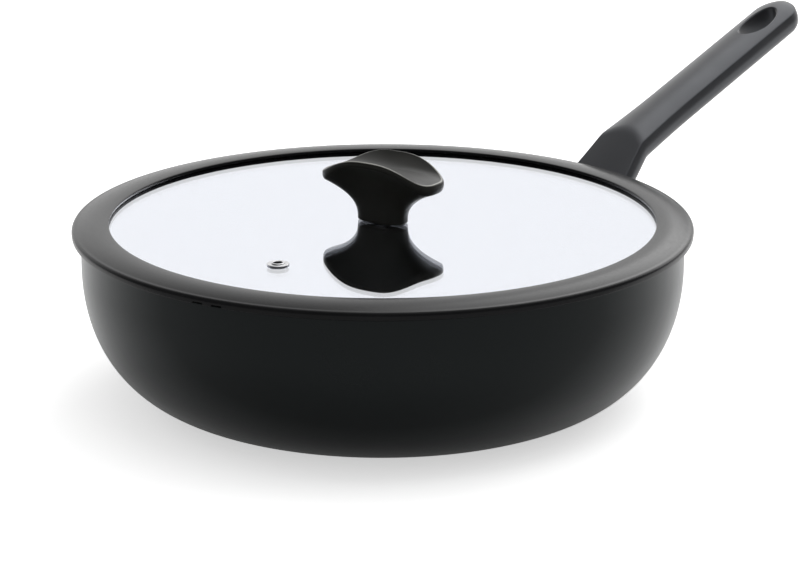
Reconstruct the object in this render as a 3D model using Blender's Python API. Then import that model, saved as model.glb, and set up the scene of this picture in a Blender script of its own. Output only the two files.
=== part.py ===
"""Wok with a flat glass lid: a forged pan with a long handle, and a silicone-rimmed lid with a saddle knob.

Metres, +Z up. The origin is the middle of the underside, on the table. The handle points along +X.
"""

from math import acos, copysign, cos, pi, radians, sin, tan, tau

import bmesh
import bpy
from mathutils import Matrix, Vector

MM = 0.001

# Gaps between touching pieces, and the mesh's fineness
GAP = 0.3 * MM
SCREW_PLAY = 0.2 * MM
MERGE = 0.005 * MM
LARGE_STEPS = 64
SMALL_STEPS = 20
ARC_STEP = radians(45)

# Wok
WOK_RADIUS = 143.6 * MM
WOK_HEIGHT = 80.5 * MM
WOK_WALL = 2.8 * MM
WOK_FLOOR = 4.5 * MM
RIM_ROUND = 1.2 * MM
BASE_RADIUS = 92.0 * MM
BASE_FLARE = 24.2 * MM
WALL_STRAIGHT = 14.9 * MM
WALL_BELLY = 43.9 * MM
CURVE_POINTS = 12

# Induction plate under the base
PLATE_RADIUS = 82.0 * MM
PLATE_THICKNESS = 1.2 * MM

# Lid glass, measured from its top face
GLASS_THICKNESS = 4.0 * MM
GLASS_HOLE = 4.0 * MM
GLASS_PROUD = 3.1 * MM
GLASS_EDGE_ROUND = 0.8 * MM

# Silicone rim: out past the wok's wall, in over the glass
SEAL_OVERHANG = 4.4 * MM
SEAL_LIP = 8.3 * MM
SEAL_LIP_RISE = 1.9 * MM
SEAL_SIDE = 3.4 * MM
SEAL_CROWN = 0.5 * MM
SEAL_UNDER_LIP = 2.0 * MM
SEAL_SKIRT_DROP = 4.8 * MM
SEAL_SKIRT_PLAY = 0.7 * MM
SEAL_SKIRT_WALL = 1.5 * MM
SEAL_EDGE_ROUND = 0.6 * MM
NOTCH_AZIMUTHS = (radians(-170.2), radians(-166.3))
NOTCH_WIDTH = 5.4 * MM
NOTCH_HEIGHT = 1.1 * MM

# Saddle knob, its long axis turned away from the handle
KNOB_AZIMUTH = radians(-80)
KNOB_LENGTH = 62.6 * MM
KNOB_WIDTH = 29.2 * MM
KNOB_END_HEIGHT = 23.0 * MM
KNOB_SIDE_HEIGHT = 31.6 * MM
KNOB_TROUGH_HEIGHT = 27.2 * MM
KNOB_END_EDGE = 5.2 * MM
KNOB_SIDE_EDGE = 3.0 * MM
KNOB_FOOT_LENGTH = 25.4 * MM
KNOB_FOOT_WIDTH = 13.6 * MM
KNOB_FOOT_ROUND = 0.7 * MM
KNOB_FLARE = 2.6
KNOB_FULLNESS = 0.7
KNOB_SADDLE = 3.5
KNOB_STEPS = 32
KNOB_LEVELS = 8
KNOB_TOP_RINGS = 4

# Knob fastening, along the lid's axis
GASKET_THICKNESS = 0.6 * MM
GASKET_INSET = 0.7 * MM
INSERT_RADIUS = 3.4 * MM
INSERT_LENGTH = 12.0 * MM
SCREW_RADIUS = 2.0 * MM
SCREW_REACH = 11.0 * MM
SCREW_HEAD_RADIUS = 4.2 * MM
SCREW_HEAD_HEIGHT = 2.6 * MM
DRIVE_SPAN = 1.1
DRIVE_SHARE = 0.25
DRIVE_DEPTH = 0.5
BUSH_FLANGE_RADIUS = 8.0 * MM
BUSH_FLANGE = 1.0 * MM
WASHER_RADIUS = 7.0 * MM
WASHER_THICKNESS = 1.0 * MM

# Steam vent, measured in from the rim's lip
VENT_AZIMUTH = radians(-169.9)
VENT_FROM_LIP = 43.0 * MM
VENT_HOLE = 4.2 * MM
VENT_BORE = 2.1 * MM
VENT_TUBE_WALL = 0.7 * MM
VENT_FLANGE_RADIUS = 5.2 * MM
VENT_FLANGE = 0.5 * MM
VENT_COLLAR_RADIUS = 3.2 * MM
VENT_COLLAR = 0.8 * MM
VENT_CURL = 0.9 * MM
VENT_SEAL_FLANGE = 0.4 * MM
VENT_SEAL_RADIUS = 4.9 * MM
VENT_RING_RADIUS = 6.0 * MM
VENT_RING_THICKNESS = 0.7 * MM

# Handle, from its fold, which stands out from the wall and up from the wok's edge
FOLD_REACH = 36.0 * MM
FOLD_RISE = 10.6 * MM
NECK_ANGLE = radians(40.0)
GRIP_ANGLE = radians(19.8)
FOLD_BEND = 10.0 * MM
NECK_REACH = 74.0 * MM
GRIP_LENGTH = 148.6 * MM
NECK_WIDTH = 48.0 * MM
FOLD_WIDTH = 27.8 * MM
GRIP_WIDTH = 24.4 * MM
GRIP_TAPER = 45.0 * MM
NECK_CROWN = 1.2 * MM
HANDLE_CROWN = 3.0 * MM
HANDLE_DEPTH = 13.4 * MM
HANDLE_SIDE = 4.5 * MM
HANDLE_BULGE = 1.0 * MM
END_ROUND = 13.0 * MM
END_STATIONS = 7
EYE_CENTRE = 122.5 * MM
EYE_LENGTH = 27.0 * MM
EYE_WIDTH = 13.0 * MM
EYE_ROUND = 1.2 * MM
EYE_STEPS = 24

# Bracket in the neck, and its screw, measured from the fold and from the edges of the top face
TONGUE_WIDTH = 18.0 * MM
TONGUE_THICKNESS = 5.0 * MM
TONGUE_END = 15.0 * MM
TONGUE_DEPTH = 4.0 * MM
PAD_WIDTH = 24.0 * MM
PAD_THICKNESS = 7.4 * MM
PAD_END = 43.0 * MM
FIX_PLACE = 27.0 * MM
FIX_RADIUS = 2.5 * MM
FIX_TIP = 0.4 * MM
FIX_HEAD_RADIUS = 4.2 * MM
FIX_HEAD_HEIGHT = 1.9 * MM
FIX_WASHER_RADIUS = 4.6 * MM
FIX_WASHER_THICKNESS = 0.7 * MM
FIX_SEAT_WALL = 2.1 * MM

# Places worked out from the sizes above
BASE_UNDERSIDE = GAP
PLATE_RECESS = PLATE_THICKNESS + GAP
FLOOR_HEIGHT = BASE_UNDERSIDE + WOK_FLOOR
SEAT_HEIGHT = WOK_HEIGHT + GAP
GLASS_TOP = SEAT_HEIGHT + GLASS_PROUD
WOK_INNER = WOK_RADIUS - WOK_WALL
SEAL_RADIUS = WOK_RADIUS + SEAL_OVERHANG
SEAL_SKIRT = WOK_INNER - SEAL_SKIRT_PLAY
SEAL_GROOVE = SEAL_SKIRT - SEAL_SKIRT_WALL
GLASS_RADIUS = SEAL_GROOVE - GAP
SEAL_INNER = GLASS_RADIUS - SEAL_LIP
VENT_DISTANCE = SEAL_INNER - VENT_FROM_LIP
FOLD_DISTANCE = WOK_RADIUS + FOLD_REACH
FOLD_HEIGHT = WOK_HEIGHT + FOLD_RISE
KNOB_FOOT = GAP + GASKET_THICKNESS + GAP
BUSH_TOP = -GLASS_THICKNESS - GAP
KNOB_WASHER_TOP = BUSH_TOP - BUSH_FLANGE - GAP
KNOB_SCREW_SEAT = KNOB_WASHER_TOP - WASHER_THICKNESS - GAP
POCKET_FLOOR = -TONGUE_DEPTH - TONGUE_THICKNESS / 2 - GAP
FIX_SEAT = POCKET_FLOOR - FIX_SEAT_WALL
FIX_WASHER_TOP = FIX_SEAT - GAP
FIX_SCREW_SEAT = FIX_WASHER_TOP - FIX_WASHER_THICKNESS - GAP


def finish(name, colour, roughness, metallic=0.0):
    """One plain material for one sub-part."""
    material = bpy.data.materials.new(name)
    material.use_nodes = True
    shader = material.node_tree.nodes["Principled BSDF"]
    shader.inputs["Base Color"].default_value = (*colour, 1.0)
    shader.inputs["Roughness"].default_value = roughness
    shader.inputs["Metallic"].default_value = metallic
    return material


def frame_axis(name, place, turn=(0.0, 0.0, 0.0), parent=None):
    """Empty that carries the pieces built round it."""
    axis = bpy.data.objects.new(name, None)
    axis.location = place
    axis.rotation_euler = turn
    axis.parent = parent
    bpy.context.collection.objects.link(axis)
    return axis


def to_object(name, bm, material, parent=None, smooth=True):
    """Turn a bmesh into an object whose faces point out."""
    bmesh.ops.recalc_face_normals(bm, faces=bm.faces)
    mesh = bpy.data.meshes.new(name)
    bm.to_mesh(mesh)
    bm.free()
    if smooth:
        mesh.shade_smooth()
        mesh.set_sharp_from_angle(angle=radians(35))
    obj = bpy.data.objects.new(name, mesh)
    obj.parent = parent
    bpy.context.collection.objects.link(obj)
    if material:
        mesh.materials.append(material)
    else:
        obj.hide_render = True
        obj.display_type = "WIRE"
    return obj


def cut(obj, cutter, operation="DIFFERENCE"):
    """Cut a piece with another shape."""
    boolean = obj.modifiers.new(cutter.name, "BOOLEAN")
    boolean.operation = operation
    boolean.solver = "EXACT"
    boolean.object = cutter


def rounded(corners):
    """Outline through (r, z, round) corners, each turned into an arc of that radius."""
    outline = []
    count = len(corners)
    for index, (r, z, radius) in enumerate(corners):
        here = Vector((r, z))
        if radius <= 0.0:
            outline.append((r, z))
            continue
        before = (Vector(corners[index - 1][:2]) - here).normalized()
        after = (Vector(corners[(index + 1) % count][:2]) - here).normalized()
        half = acos(max(-1.0, min(1.0, before.dot(after)))) / 2
        centre = here + (before + after).normalized() * radius / sin(half)
        first = here + before * radius / tan(half) - centre
        last = here + after * radius / tan(half) - centre
        swept = first.angle_signed(last)
        pieces = max(1, round(abs(swept) / ARC_STEP))
        for step in range(pieces + 1):
            turn = Matrix.Rotation(-swept * step / pieces, 2)
            outline.append(tuple(centre + turn @ first))
    return outline


def turned(name, outline, material, parent=None, steps=SMALL_STEPS):
    """Turn an outline of (r, z) points round the Z axis. One that starts at r = 0 ends there too."""
    bm = bmesh.new()
    points = [bm.verts.new((r, 0.0, z)) for r, z in outline]
    pairs = list(zip(points, points[1:]))
    if outline[0][0] > MERGE:
        pairs.append((points[-1], points[0]))
    edges = [bm.edges.new(pair) for pair in pairs]
    bmesh.ops.spin(
        bm, geom=points + edges, cent=(0, 0, 0), axis=(0, 0, 1), angle=tau, steps=steps, use_merge=True
    )
    bmesh.ops.remove_doubles(bm, verts=bm.verts, dist=MERGE)
    return to_object(name, bm, material, parent)


def lofted(name, loops, material, parent=None):
    """Skin a row of point loops that all have the same count, and close both ends."""
    bm = bmesh.new()
    rows = [[bm.verts.new(point) for point in loop] for loop in loops]
    count = len(rows[0])
    for low, high in zip(rows, rows[1:]):
        for index in range(count):
            after = (index + 1) % count
            bm.faces.new((low[index], low[after], high[after], high[index]))
    bm.faces.new(rows[0])
    bm.faces.new(rows[-1])
    return to_object(name, bm, material, parent)


def block(name, low, high, material, parent=None):
    """Box between two corners."""
    bm = bmesh.new()
    bmesh.ops.create_cube(bm, size=1.0)
    low, high = Vector(low), Vector(high)
    bmesh.ops.scale(bm, vec=high - low, verts=bm.verts)
    bmesh.ops.translate(bm, vec=(low + high) / 2, verts=bm.verts)
    return to_object(name, bm, material, parent, smooth=False)


def rod(name, radius, low, high, parent):
    """Round cutter along Z."""
    return turned(name, [(0.0, high), (radius, high), (radius, low), (0.0, low)], None, parent)


def oval(half_length, half_width, height, steps):
    """Level loop of an oval."""
    return [
        (half_length * cos(tau * step / steps), half_width * sin(tau * step / steps), height)
        for step in range(steps)
    ]


def washer(name, bore, radius, top, thickness, material, parent):
    """Flat ring under a screw head."""
    bottom = top - thickness
    edge = thickness / 4
    ring = [(bore, top, 0.0), (radius, top, edge), (radius, bottom, edge), (bore, bottom, 0.0)]
    return turned(name, rounded(ring), material, parent)


def screw(name, radius, tip, seat, head_radius, head_height, material, parent):
    """Pan-head screw along Z with its head down, its cross recess open below."""
    bottom = seat - head_height
    outline = rounded(
        [
            (0.0, tip, 0.0),
            (radius, tip, radius / 4),
            (radius, seat, 0.0),
            (head_radius, seat, 0.0),
            (head_radius, bottom, head_height / 2),
            (0.0, bottom, 0.0),
        ]
    )
    piece = turned(name, outline, material, parent)
    length = head_radius * DRIVE_SPAN
    width = head_radius * DRIVE_SHARE
    for turn, (across, along) in enumerate(((length, width), (width, length))):
        low = (-across / 2, -along / 2, bottom - head_height)
        high = (across / 2, along / 2, bottom + head_height * DRIVE_DEPTH)
        recess = block(f"{name}_drive_{turn}", low, high, None, parent)
        cut(piece, recess)
    return piece


def bezier(start, first, second, end, t):
    """Point and direction on a cubic curve."""
    s = 1.0 - t
    place = start * s**3 + first * 3 * s * s * t + second * 3 * s * t * t + end * t**3
    heading = (first - start) * s * s + (second - first) * 2 * s * t + (end - second) * t * t
    return place, heading.normalized()


def wok_wall(inset):
    """Curve of the wok's side from base to straight wall, moved inwards by inset(t)."""
    start = Vector((BASE_RADIUS, BASE_UNDERSIDE))
    first = Vector((BASE_RADIUS + BASE_FLARE, BASE_UNDERSIDE))
    end = Vector((WOK_RADIUS, WOK_HEIGHT - WALL_STRAIGHT))
    second = end - Vector((0.0, WALL_BELLY))
    curve = []
    for step in range(CURVE_POINTS):
        t = step / (CURVE_POINTS - 1)
        place, heading = bezier(start, first, second, end, t)
        inwards = Vector((-heading.y, heading.x))
        curve.append(tuple(place + inwards * inset(t)))
    return curve


def make_wok():
    """The forged pan, hollow above and recessed below."""
    coating = finish("black_coated_aluminium", (0.018, 0.019, 0.020), 0.38)
    inner = wok_wall(lambda t: WOK_FLOOR + (WOK_WALL - WOK_FLOOR) * t)
    outer = wok_wall(lambda t: 0.0)
    rim = rounded(
        [
            (WOK_INNER, WOK_HEIGHT, RIM_ROUND),
            (WOK_RADIUS, WOK_HEIGHT, RIM_ROUND),
            (WOK_RADIUS, BASE_UNDERSIDE, 0.0),
            (WOK_INNER, BASE_UNDERSIDE, 0.0),
        ]
    )[:-2]
    recess = PLATE_RADIUS + GAP
    outline = [(0.0, FLOOR_HEIGHT)] + inner + rim + outer[::-1]
    outline += [(recess, BASE_UNDERSIDE), (recess, PLATE_RECESS), (0.0, PLATE_RECESS)]
    turned("wok_body", outline, coating, steps=LARGE_STEPS)


def make_plate():
    """The steel plate pressed into the base, which the wok stands on."""
    steel = finish("induction_steel", (0.55, 0.55, 0.56), 0.32, 1.0)
    outline = rounded(
        [
            (0.0, PLATE_THICKNESS, 0.0),
            (PLATE_RADIUS, PLATE_THICKNESS, 0.0),
            (PLATE_RADIUS, 0.0, PLATE_THICKNESS / 3),
            (0.0, 0.0, 0.0),
        ]
    )
    turned("induction_plate", outline, steel, steps=LARGE_STEPS)


def wall_cutter(name):
    """Solid of the wok's outer shape grown by the gap, to cut what fits against the wall."""
    side = wok_wall(lambda t: -GAP)
    top = WOK_HEIGHT * 2
    outline = [(0.0, top), (WOK_RADIUS + GAP, top)] + side[::-1] + [(0.0, side[0][1])]
    return turned(name, outline, None, steps=LARGE_STEPS)


def section(width, angle, place, shrink=1.0, crown=HANDLE_CROWN):
    """One loop of the handle: crowned top between two edges, upright sides, rounded underside.

    The loop stands square to a direction at this angle, with its two edges level with the given place.
    """
    half = width / 2
    depth = HANDLE_DEPTH * (1.0 + shrink) / 2
    side = HANDLE_SIDE * (1.0 + shrink) / 2
    bulge = half + HANDLE_BULGE * shrink
    outline = []
    for step in range(9):
        share = 1 - step / 4
        outline.append((half * share, crown * shrink * (1 - share * share)))
    outline.append((-(half + bulge) / 2, -side / 2))
    for step in range(9):
        turn = pi * step / 8
        outline.append((-bulge * cos(turn), -side - (depth - side) * abs(sin(turn)) ** 0.75))
    outline.append(((half + bulge) / 2, -side / 2))
    up = Vector((-sin(angle), 0.0, cos(angle)))
    return [place + Vector((0.0, across, 0.0)) + up * rise for across, rise in outline]


def handle_loops():
    """Loops of the handle from inside the wall, over the fold, to the rounded end."""
    neck = Vector((cos(NECK_ANGLE), 0.0, sin(NECK_ANGLE)))
    grip = Vector((cos(GRIP_ANGLE), 0.0, sin(GRIP_ANGLE)))
    bend = NECK_ANGLE - GRIP_ANGLE
    reach = FOLD_BEND * tan(bend / 2)
    loops = []
    for along in (NECK_REACH, NECK_REACH / 2, reach):
        width = FOLD_WIDTH + (NECK_WIDTH - FOLD_WIDTH) * (along - reach) / (NECK_REACH - reach)
        loops.append(section(width, NECK_ANGLE, -neck * along, crown=NECK_CROWN))
    centre = -neck * reach + Vector((sin(NECK_ANGLE), 0.0, -cos(NECK_ANGLE))) * FOLD_BEND
    for step in (1, 2, 3):
        angle = NECK_ANGLE - bend * step / 3
        place = centre + Vector((-sin(angle), 0.0, cos(angle))) * FOLD_BEND
        loops.append(section(FOLD_WIDTH, angle, place))
    straight = GRIP_LENGTH - END_ROUND
    for along in (GRIP_TAPER / 2, GRIP_TAPER, (GRIP_TAPER + straight) / 2, straight):
        waist = sin(min(1.0, along / GRIP_TAPER) * pi / 2)
        loops.append(section(FOLD_WIDTH + (GRIP_WIDTH - FOLD_WIDTH) * waist, GRIP_ANGLE, grip * along))
    for step in range(1, END_STATIONS + 1):
        turn = pi / 2 * step / (END_STATIONS + 0.6)
        shrink = cos(turn) ** 0.85
        place = grip * (straight + END_ROUND * sin(turn))
        loops.append(section(GRIP_WIDTH * shrink, GRIP_ANGLE, place, shrink))
    return loops


def eye_cutter(grip_axis):
    """Long hole near the handle's end, opened out at both faces."""
    top = HANDLE_CROWN - EYE_ROUND
    bottom = -HANDLE_DEPTH + EYE_ROUND
    beyond = HANDLE_CROWN + EYE_ROUND
    loops = []
    for rise, grow in (
        (beyond, 2 * EYE_ROUND),
        (top, EYE_ROUND / 2),
        (top - EYE_ROUND, 0.0),
        (bottom + EYE_ROUND, 0.0),
        (bottom, EYE_ROUND / 2),
        (bottom - beyond, 2 * EYE_ROUND),
    ):
        loop = oval(EYE_LENGTH / 2 + grow, EYE_WIDTH / 2 + grow, rise, EYE_STEPS)
        loops.append(loop)
    cutter = lofted("eye_cutter", loops, None, grip_axis)
    cutter.location = (EYE_CENTRE, 0.0, 0.0)
    return cutter


def bracket_blocks(name, grow, material, neck_axis):
    """Tongue and foot pad of the bracket in the neck, grown all round when they cut its pocket."""
    pieces = []
    for part, width, thickness, end, made_of in (
        ("", TONGUE_WIDTH, TONGUE_THICKNESS, TONGUE_END, material),
        ("_pad", PAD_WIDTH, PAD_THICKNESS, PAD_END, None),
    ):
        low = (-NECK_REACH, -width / 2 - grow, -TONGUE_DEPTH - thickness / 2 - grow)
        high = (-end + grow, width / 2 + grow, -TONGUE_DEPTH + thickness / 2 + grow)
        pieces.append(block(name + part, low, high, made_of, neck_axis))
    return pieces


def make_grip(fold, neck_axis, grip_axis, screw_axis, wall):
    """Moulded handle: pocket for the bracket, well for its screw, and the hanging eye."""
    black = finish("soft_touch_polymer", (0.045, 0.045, 0.047), 0.48)
    below = -2 * HANDLE_DEPTH
    well_outline = [
        (0.0, POCKET_FLOOR + GAP),
        (FIX_RADIUS + SCREW_PLAY, POCKET_FLOOR + GAP),
        (FIX_RADIUS + SCREW_PLAY, FIX_SEAT),
        (FIX_WASHER_RADIUS + GAP, FIX_SEAT),
        (FIX_WASHER_RADIUS + GAP, below),
        (0.0, below),
    ]
    grip = lofted("handle_grip", handle_loops(), black, fold)
    cut(grip, wall)
    for pocket in bracket_blocks("neck_pocket", GAP, None, neck_axis):
        cut(grip, pocket)
    cut(grip, turned("screw_well_cutter", well_outline, None, screw_axis))
    cut(grip, eye_cutter(grip_axis))


def make_bracket(neck_axis, screw_axis, wall):
    """Tongue welded to the wall, which the handle slides over."""
    aluminium = finish("bracket_aluminium", (0.72, 0.72, 0.73), 0.4, 1.0)
    bracket, pad = bracket_blocks("handle_bracket", 0.0, aluminium, neck_axis)
    cut(bracket, pad, "UNION")
    cut(bracket, wall)
    cut(bracket, rod("thread_cutter", FIX_RADIUS + SCREW_PLAY, -2 * HANDLE_DEPTH, 0.0, screw_axis))


def make_handle():
    """Handle, bracket, and the washer and screw that hold the two together."""
    steel = finish("zinc_plated_steel", (0.62, 0.62, 0.60), 0.3, 1.0)
    fold = frame_axis("handle_fold", (FOLD_DISTANCE, 0.0, FOLD_HEIGHT))
    neck_axis = frame_axis("neck_axis", (0.0, 0.0, 0.0), (0.0, -NECK_ANGLE, 0.0), fold)
    grip_axis = frame_axis("grip_axis", (0.0, 0.0, 0.0), (0.0, -GRIP_ANGLE, 0.0), fold)
    screw_axis = frame_axis("fix_screw_axis", (-FIX_PLACE, 0.0, 0.0), parent=neck_axis)
    wall = wall_cutter("wall_cutter")
    make_grip(fold, neck_axis, grip_axis, screw_axis, wall)
    make_bracket(neck_axis, screw_axis, wall)
    bore = FIX_RADIUS + SCREW_PLAY
    washer(
        "handle_washer", bore, FIX_WASHER_RADIUS, FIX_WASHER_TOP, FIX_WASHER_THICKNESS, steel, screw_axis
    )
    tip = -TONGUE_DEPTH + TONGUE_THICKNESS / 2 - FIX_TIP
    screw(
        "handle_screw", FIX_RADIUS, tip, FIX_SCREW_SEAT, FIX_HEAD_RADIUS, FIX_HEAD_HEIGHT, steel, screw_axis
    )


def make_glass(lid, vent):
    """Flat tempered glass with a hole for the knob's screw and one for the vent."""
    glass = finish("tempered_glass", (0.86, 0.92, 0.91), 0.03)
    outline = rounded(
        [
            (GLASS_HOLE, 0.0, 0.0),
            (GLASS_RADIUS, 0.0, GLASS_EDGE_ROUND),
            (GLASS_RADIUS, -GLASS_THICKNESS, GLASS_EDGE_ROUND),
            (GLASS_HOLE, -GLASS_THICKNESS, 0.0),
        ]
    )
    disc = turned("lid_glass", outline, glass, lid, LARGE_STEPS)
    cut(disc, rod("vent_hole_cutter", VENT_HOLE, -2 * GLASS_THICKNESS, GLASS_THICKNESS, vent))


def make_seal(lid):
    """Silicone rim: lip over the glass, side past the wok's rim, skirt inside the wok, two steam notches."""
    silicone = finish("black_silicone", (0.030, 0.030, 0.031), 0.55)
    side_top = SEAL_SIDE - GLASS_PROUD
    under = -GLASS_THICKNESS - GAP
    shoulder = SEAL_RADIUS - SEAL_EDGE_ROUND
    crown = []
    for share in (0.25, 0.5, 0.75):
        r = SEAL_INNER + (shoulder - SEAL_INNER) * share
        z = SEAL_LIP_RISE + (side_top - SEAL_LIP_RISE) * share
        crown.append((r, z + SEAL_CROWN * 4 * share * (1 - share), 0.0))
    outline = rounded(
        [
            (SEAL_INNER + GAP, GAP, 0.0),
            (SEAL_INNER, SEAL_LIP_RISE, SEAL_EDGE_ROUND),
            *crown,
            (shoulder, side_top, 0.0),
            (SEAL_RADIUS, side_top - SEAL_EDGE_ROUND, 0.0),
            (SEAL_RADIUS - GAP, -GLASS_PROUD, SEAL_EDGE_ROUND),
            (SEAL_SKIRT, -GLASS_PROUD, 0.0),
            (SEAL_SKIRT, -GLASS_PROUD - SEAL_SKIRT_DROP, SEAL_EDGE_ROUND),
            (SEAL_INNER + 3 * GAP, under - SEAL_UNDER_LIP, SEAL_EDGE_ROUND),
            (SEAL_INNER + 3 * GAP, under, 0.0),
            (SEAL_GROOVE, under, 0.0),
            (SEAL_GROOVE, GAP, 0.0),
        ]
    )
    rim = turned("silicone_rim", outline, silicone, lid, LARGE_STEPS)
    for number, azimuth in enumerate(NOTCH_AZIMUTHS):
        low = (SEAL_SKIRT - SEAL_EDGE_ROUND, -NOTCH_WIDTH / 2, -GLASS_PROUD - 2 * SEAL_SKIRT_DROP)
        high = (SEAL_RADIUS + NOTCH_WIDTH, NOTCH_WIDTH / 2, -GLASS_PROUD + NOTCH_HEIGHT)
        notch = block(f"steam_notch_cutter_{number}", low, high, None, lid)
        notch.rotation_euler = (0.0, 0.0, azimuth)
        cut(rim, notch)


def knob_loops():
    """Loops of the knob: up the flared underside, over the rim's edge, and in across the trough."""
    rim_length, rim_width = KNOB_LENGTH / 2, KNOB_WIDTH / 2
    foot_length, foot_width = KNOB_FOOT_LENGTH / 2, KNOB_FOOT_WIDTH / 2
    turns = [tau * step / KNOB_STEPS for step in range(KNOB_STEPS)]

    def full(value):
        return copysign(abs(value) ** KNOB_FULLNESS, value)

    def between(at_end, at_side, turn):
        return at_end + (at_side - at_end) * abs(sin(turn)) ** KNOB_SADDLE

    def loop(reach, height):
        points = []
        for turn in turns:
            share = reach(turn)
            x = (foot_length + (rim_length - foot_length) * share) * full(cos(turn))
            y = (foot_width + (rim_width - foot_width) * share) * full(sin(turn))
            points.append((x, y, height(turn)))
        return points

    def top(turn):
        return between(KNOB_END_HEIGHT, KNOB_SIDE_HEIGHT, turn)

    def edge(turn):
        return between(KNOB_END_EDGE, KNOB_SIDE_EDGE, turn)

    inset = KNOB_FOOT_ROUND / foot_width
    loops = [loop(lambda turn: -inset, lambda turn: KNOB_FOOT)]
    for level in range(KNOB_LEVELS + 1):
        share = level / KNOB_LEVELS

        def rise(turn, share=share):
            low = KNOB_FOOT + KNOB_FOOT_ROUND
            return low + (top(turn) - edge(turn) - low) * share

        loops.append(loop(lambda turn, share=share: share**KNOB_FLARE * 0.97, rise))
    loops.append(loop(lambda turn: 1.0, lambda turn: top(turn) - edge(turn) * 0.65))
    loops.append(loop(lambda turn: 1.0, lambda turn: top(turn) - edge(turn) * 0.25))
    for ring in range(KNOB_TOP_RINGS):
        share = 0.96 * (1 - ring / KNOB_TOP_RINGS)
        loops.append(
            [
                (
                    rim_length * share * full(cos(turn)),
                    rim_width * share * full(sin(turn)),
                    KNOB_TROUGH_HEIGHT + (top(turn) - KNOB_TROUGH_HEIGHT) * share * share,
                )
                for turn in turns
            ]
        )
    return loops


def make_knob(lid):
    """Saddle knob with its threaded insert."""
    phenolic = finish("black_phenolic", (0.020, 0.020, 0.021), 0.42)
    brass = finish("brass", (0.80, 0.62, 0.30), 0.35, 1.0)
    axis = frame_axis("knob_axis", (0.0, 0.0, 0.0), (0.0, 0.0, KNOB_AZIMUTH), lid)
    knob = lofted("lid_knob", knob_loops(), phenolic, axis)
    pocket_top = KNOB_FOOT + INSERT_LENGTH + GAP
    cut(knob, rod("insert_cutter", INSERT_RADIUS + GAP, -KNOB_FOOT, pocket_top, axis))
    low, high = KNOB_FOOT, KNOB_FOOT + INSERT_LENGTH
    bore = SCREW_RADIUS + SCREW_PLAY
    edge = (INSERT_RADIUS - bore) / 3
    insert = [(bore, low, 0.0), (bore, high, 0.0), (INSERT_RADIUS, high, edge), (INSERT_RADIUS, low, edge)]
    turned("knob_insert", rounded(insert), brass, axis)
    return axis


def make_knob_fastening(lid, knob_axis):
    """Gasket, bush, washer and screw that hold the knob on the glass."""
    silicone = finish("clear_silicone", (0.55, 0.56, 0.56), 0.5)
    steel = finish("stainless_steel", (0.66, 0.66, 0.67), 0.25, 1.0)
    bore = SCREW_RADIUS + SCREW_PLAY
    half_length = KNOB_FOOT_LENGTH / 2 - GASKET_INSET
    half_width = KNOB_FOOT_WIDTH / 2 - GASKET_INSET
    loops = [oval(half_length, half_width, height, SMALL_STEPS) for height in (GAP, GAP + GASKET_THICKNESS)]
    gasket = lofted("knob_gasket", loops, silicone, knob_axis)
    cut(gasket, rod("gasket_hole_cutter", bore, -GLASS_THICKNESS, GLASS_THICKNESS, knob_axis))
    bush = [
        (bore, -GAP),
        (GLASS_HOLE - GAP, -GAP),
        (GLASS_HOLE - GAP, BUSH_TOP),
        (BUSH_FLANGE_RADIUS, BUSH_TOP),
        (BUSH_FLANGE_RADIUS, BUSH_TOP - BUSH_FLANGE),
        (bore, BUSH_TOP - BUSH_FLANGE),
    ]
    turned("knob_bush", bush, silicone, lid)
    washer("knob_washer", bore, WASHER_RADIUS, KNOB_WASHER_TOP, WASHER_THICKNESS, steel, lid)
    screw(
        "knob_screw",
        SCREW_RADIUS,
        SCREW_REACH,
        KNOB_SCREW_SEAT,
        SCREW_HEAD_RADIUS,
        SCREW_HEAD_HEIGHT,
        steel,
        lid,
    )


def make_vent(vent):
    """Steam eyelet through the glass, its seal above and its ring below."""
    steel = finish("polished_stainless_steel", (0.72, 0.72, 0.73), 0.15, 1.0)
    silicone = finish("vent_silicone", (0.030, 0.030, 0.031), 0.55)
    tube = VENT_BORE + VENT_TUBE_WALL
    flange_low = GAP + VENT_SEAL_FLANGE + GAP
    flange_top = flange_low + VENT_FLANGE
    ring_top = -GLASS_THICKNESS - GAP
    ring_low = ring_top - VENT_RING_THICKNESS
    curl_low = ring_low - GAP - VENT_CURL
    eyelet = rounded(
        [
            (VENT_BORE, flange_top + VENT_COLLAR, VENT_TUBE_WALL / 2),
            (VENT_COLLAR_RADIUS, flange_top + VENT_COLLAR, VENT_TUBE_WALL / 2),
            (VENT_COLLAR_RADIUS, flange_top, 0.0),
            (VENT_FLANGE_RADIUS, flange_top, VENT_FLANGE / 2),
            (VENT_FLANGE_RADIUS, flange_low, 0.0),
            (tube, flange_low, 0.0),
            (tube, curl_low + VENT_CURL, 0.0),
            (tube + VENT_CURL, curl_low + VENT_CURL, VENT_CURL / 3),
            (tube + VENT_CURL, curl_low, VENT_CURL / 3),
            (VENT_BORE, curl_low, 0.0),
        ]
    )
    turned("vent_eyelet", eyelet, steel, vent)
    seal = [
        (tube + GAP, flange_low - GAP),
        (VENT_SEAL_RADIUS, flange_low - GAP),
        (VENT_SEAL_RADIUS, GAP),
        (VENT_HOLE - GAP, GAP),
        (VENT_HOLE - GAP, -GLASS_THICKNESS),
        (tube + GAP, -GLASS_THICKNESS),
    ]
    turned("vent_seal", seal, silicone, vent)
    washer("vent_ring", tube + GAP, VENT_RING_RADIUS, ring_top, VENT_RING_THICKNESS, steel, vent)


def clear_scene():
    """Remove what the file opened with."""
    for obj in list(bpy.data.objects):
        bpy.data.objects.remove(obj, do_unlink=True)


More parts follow.
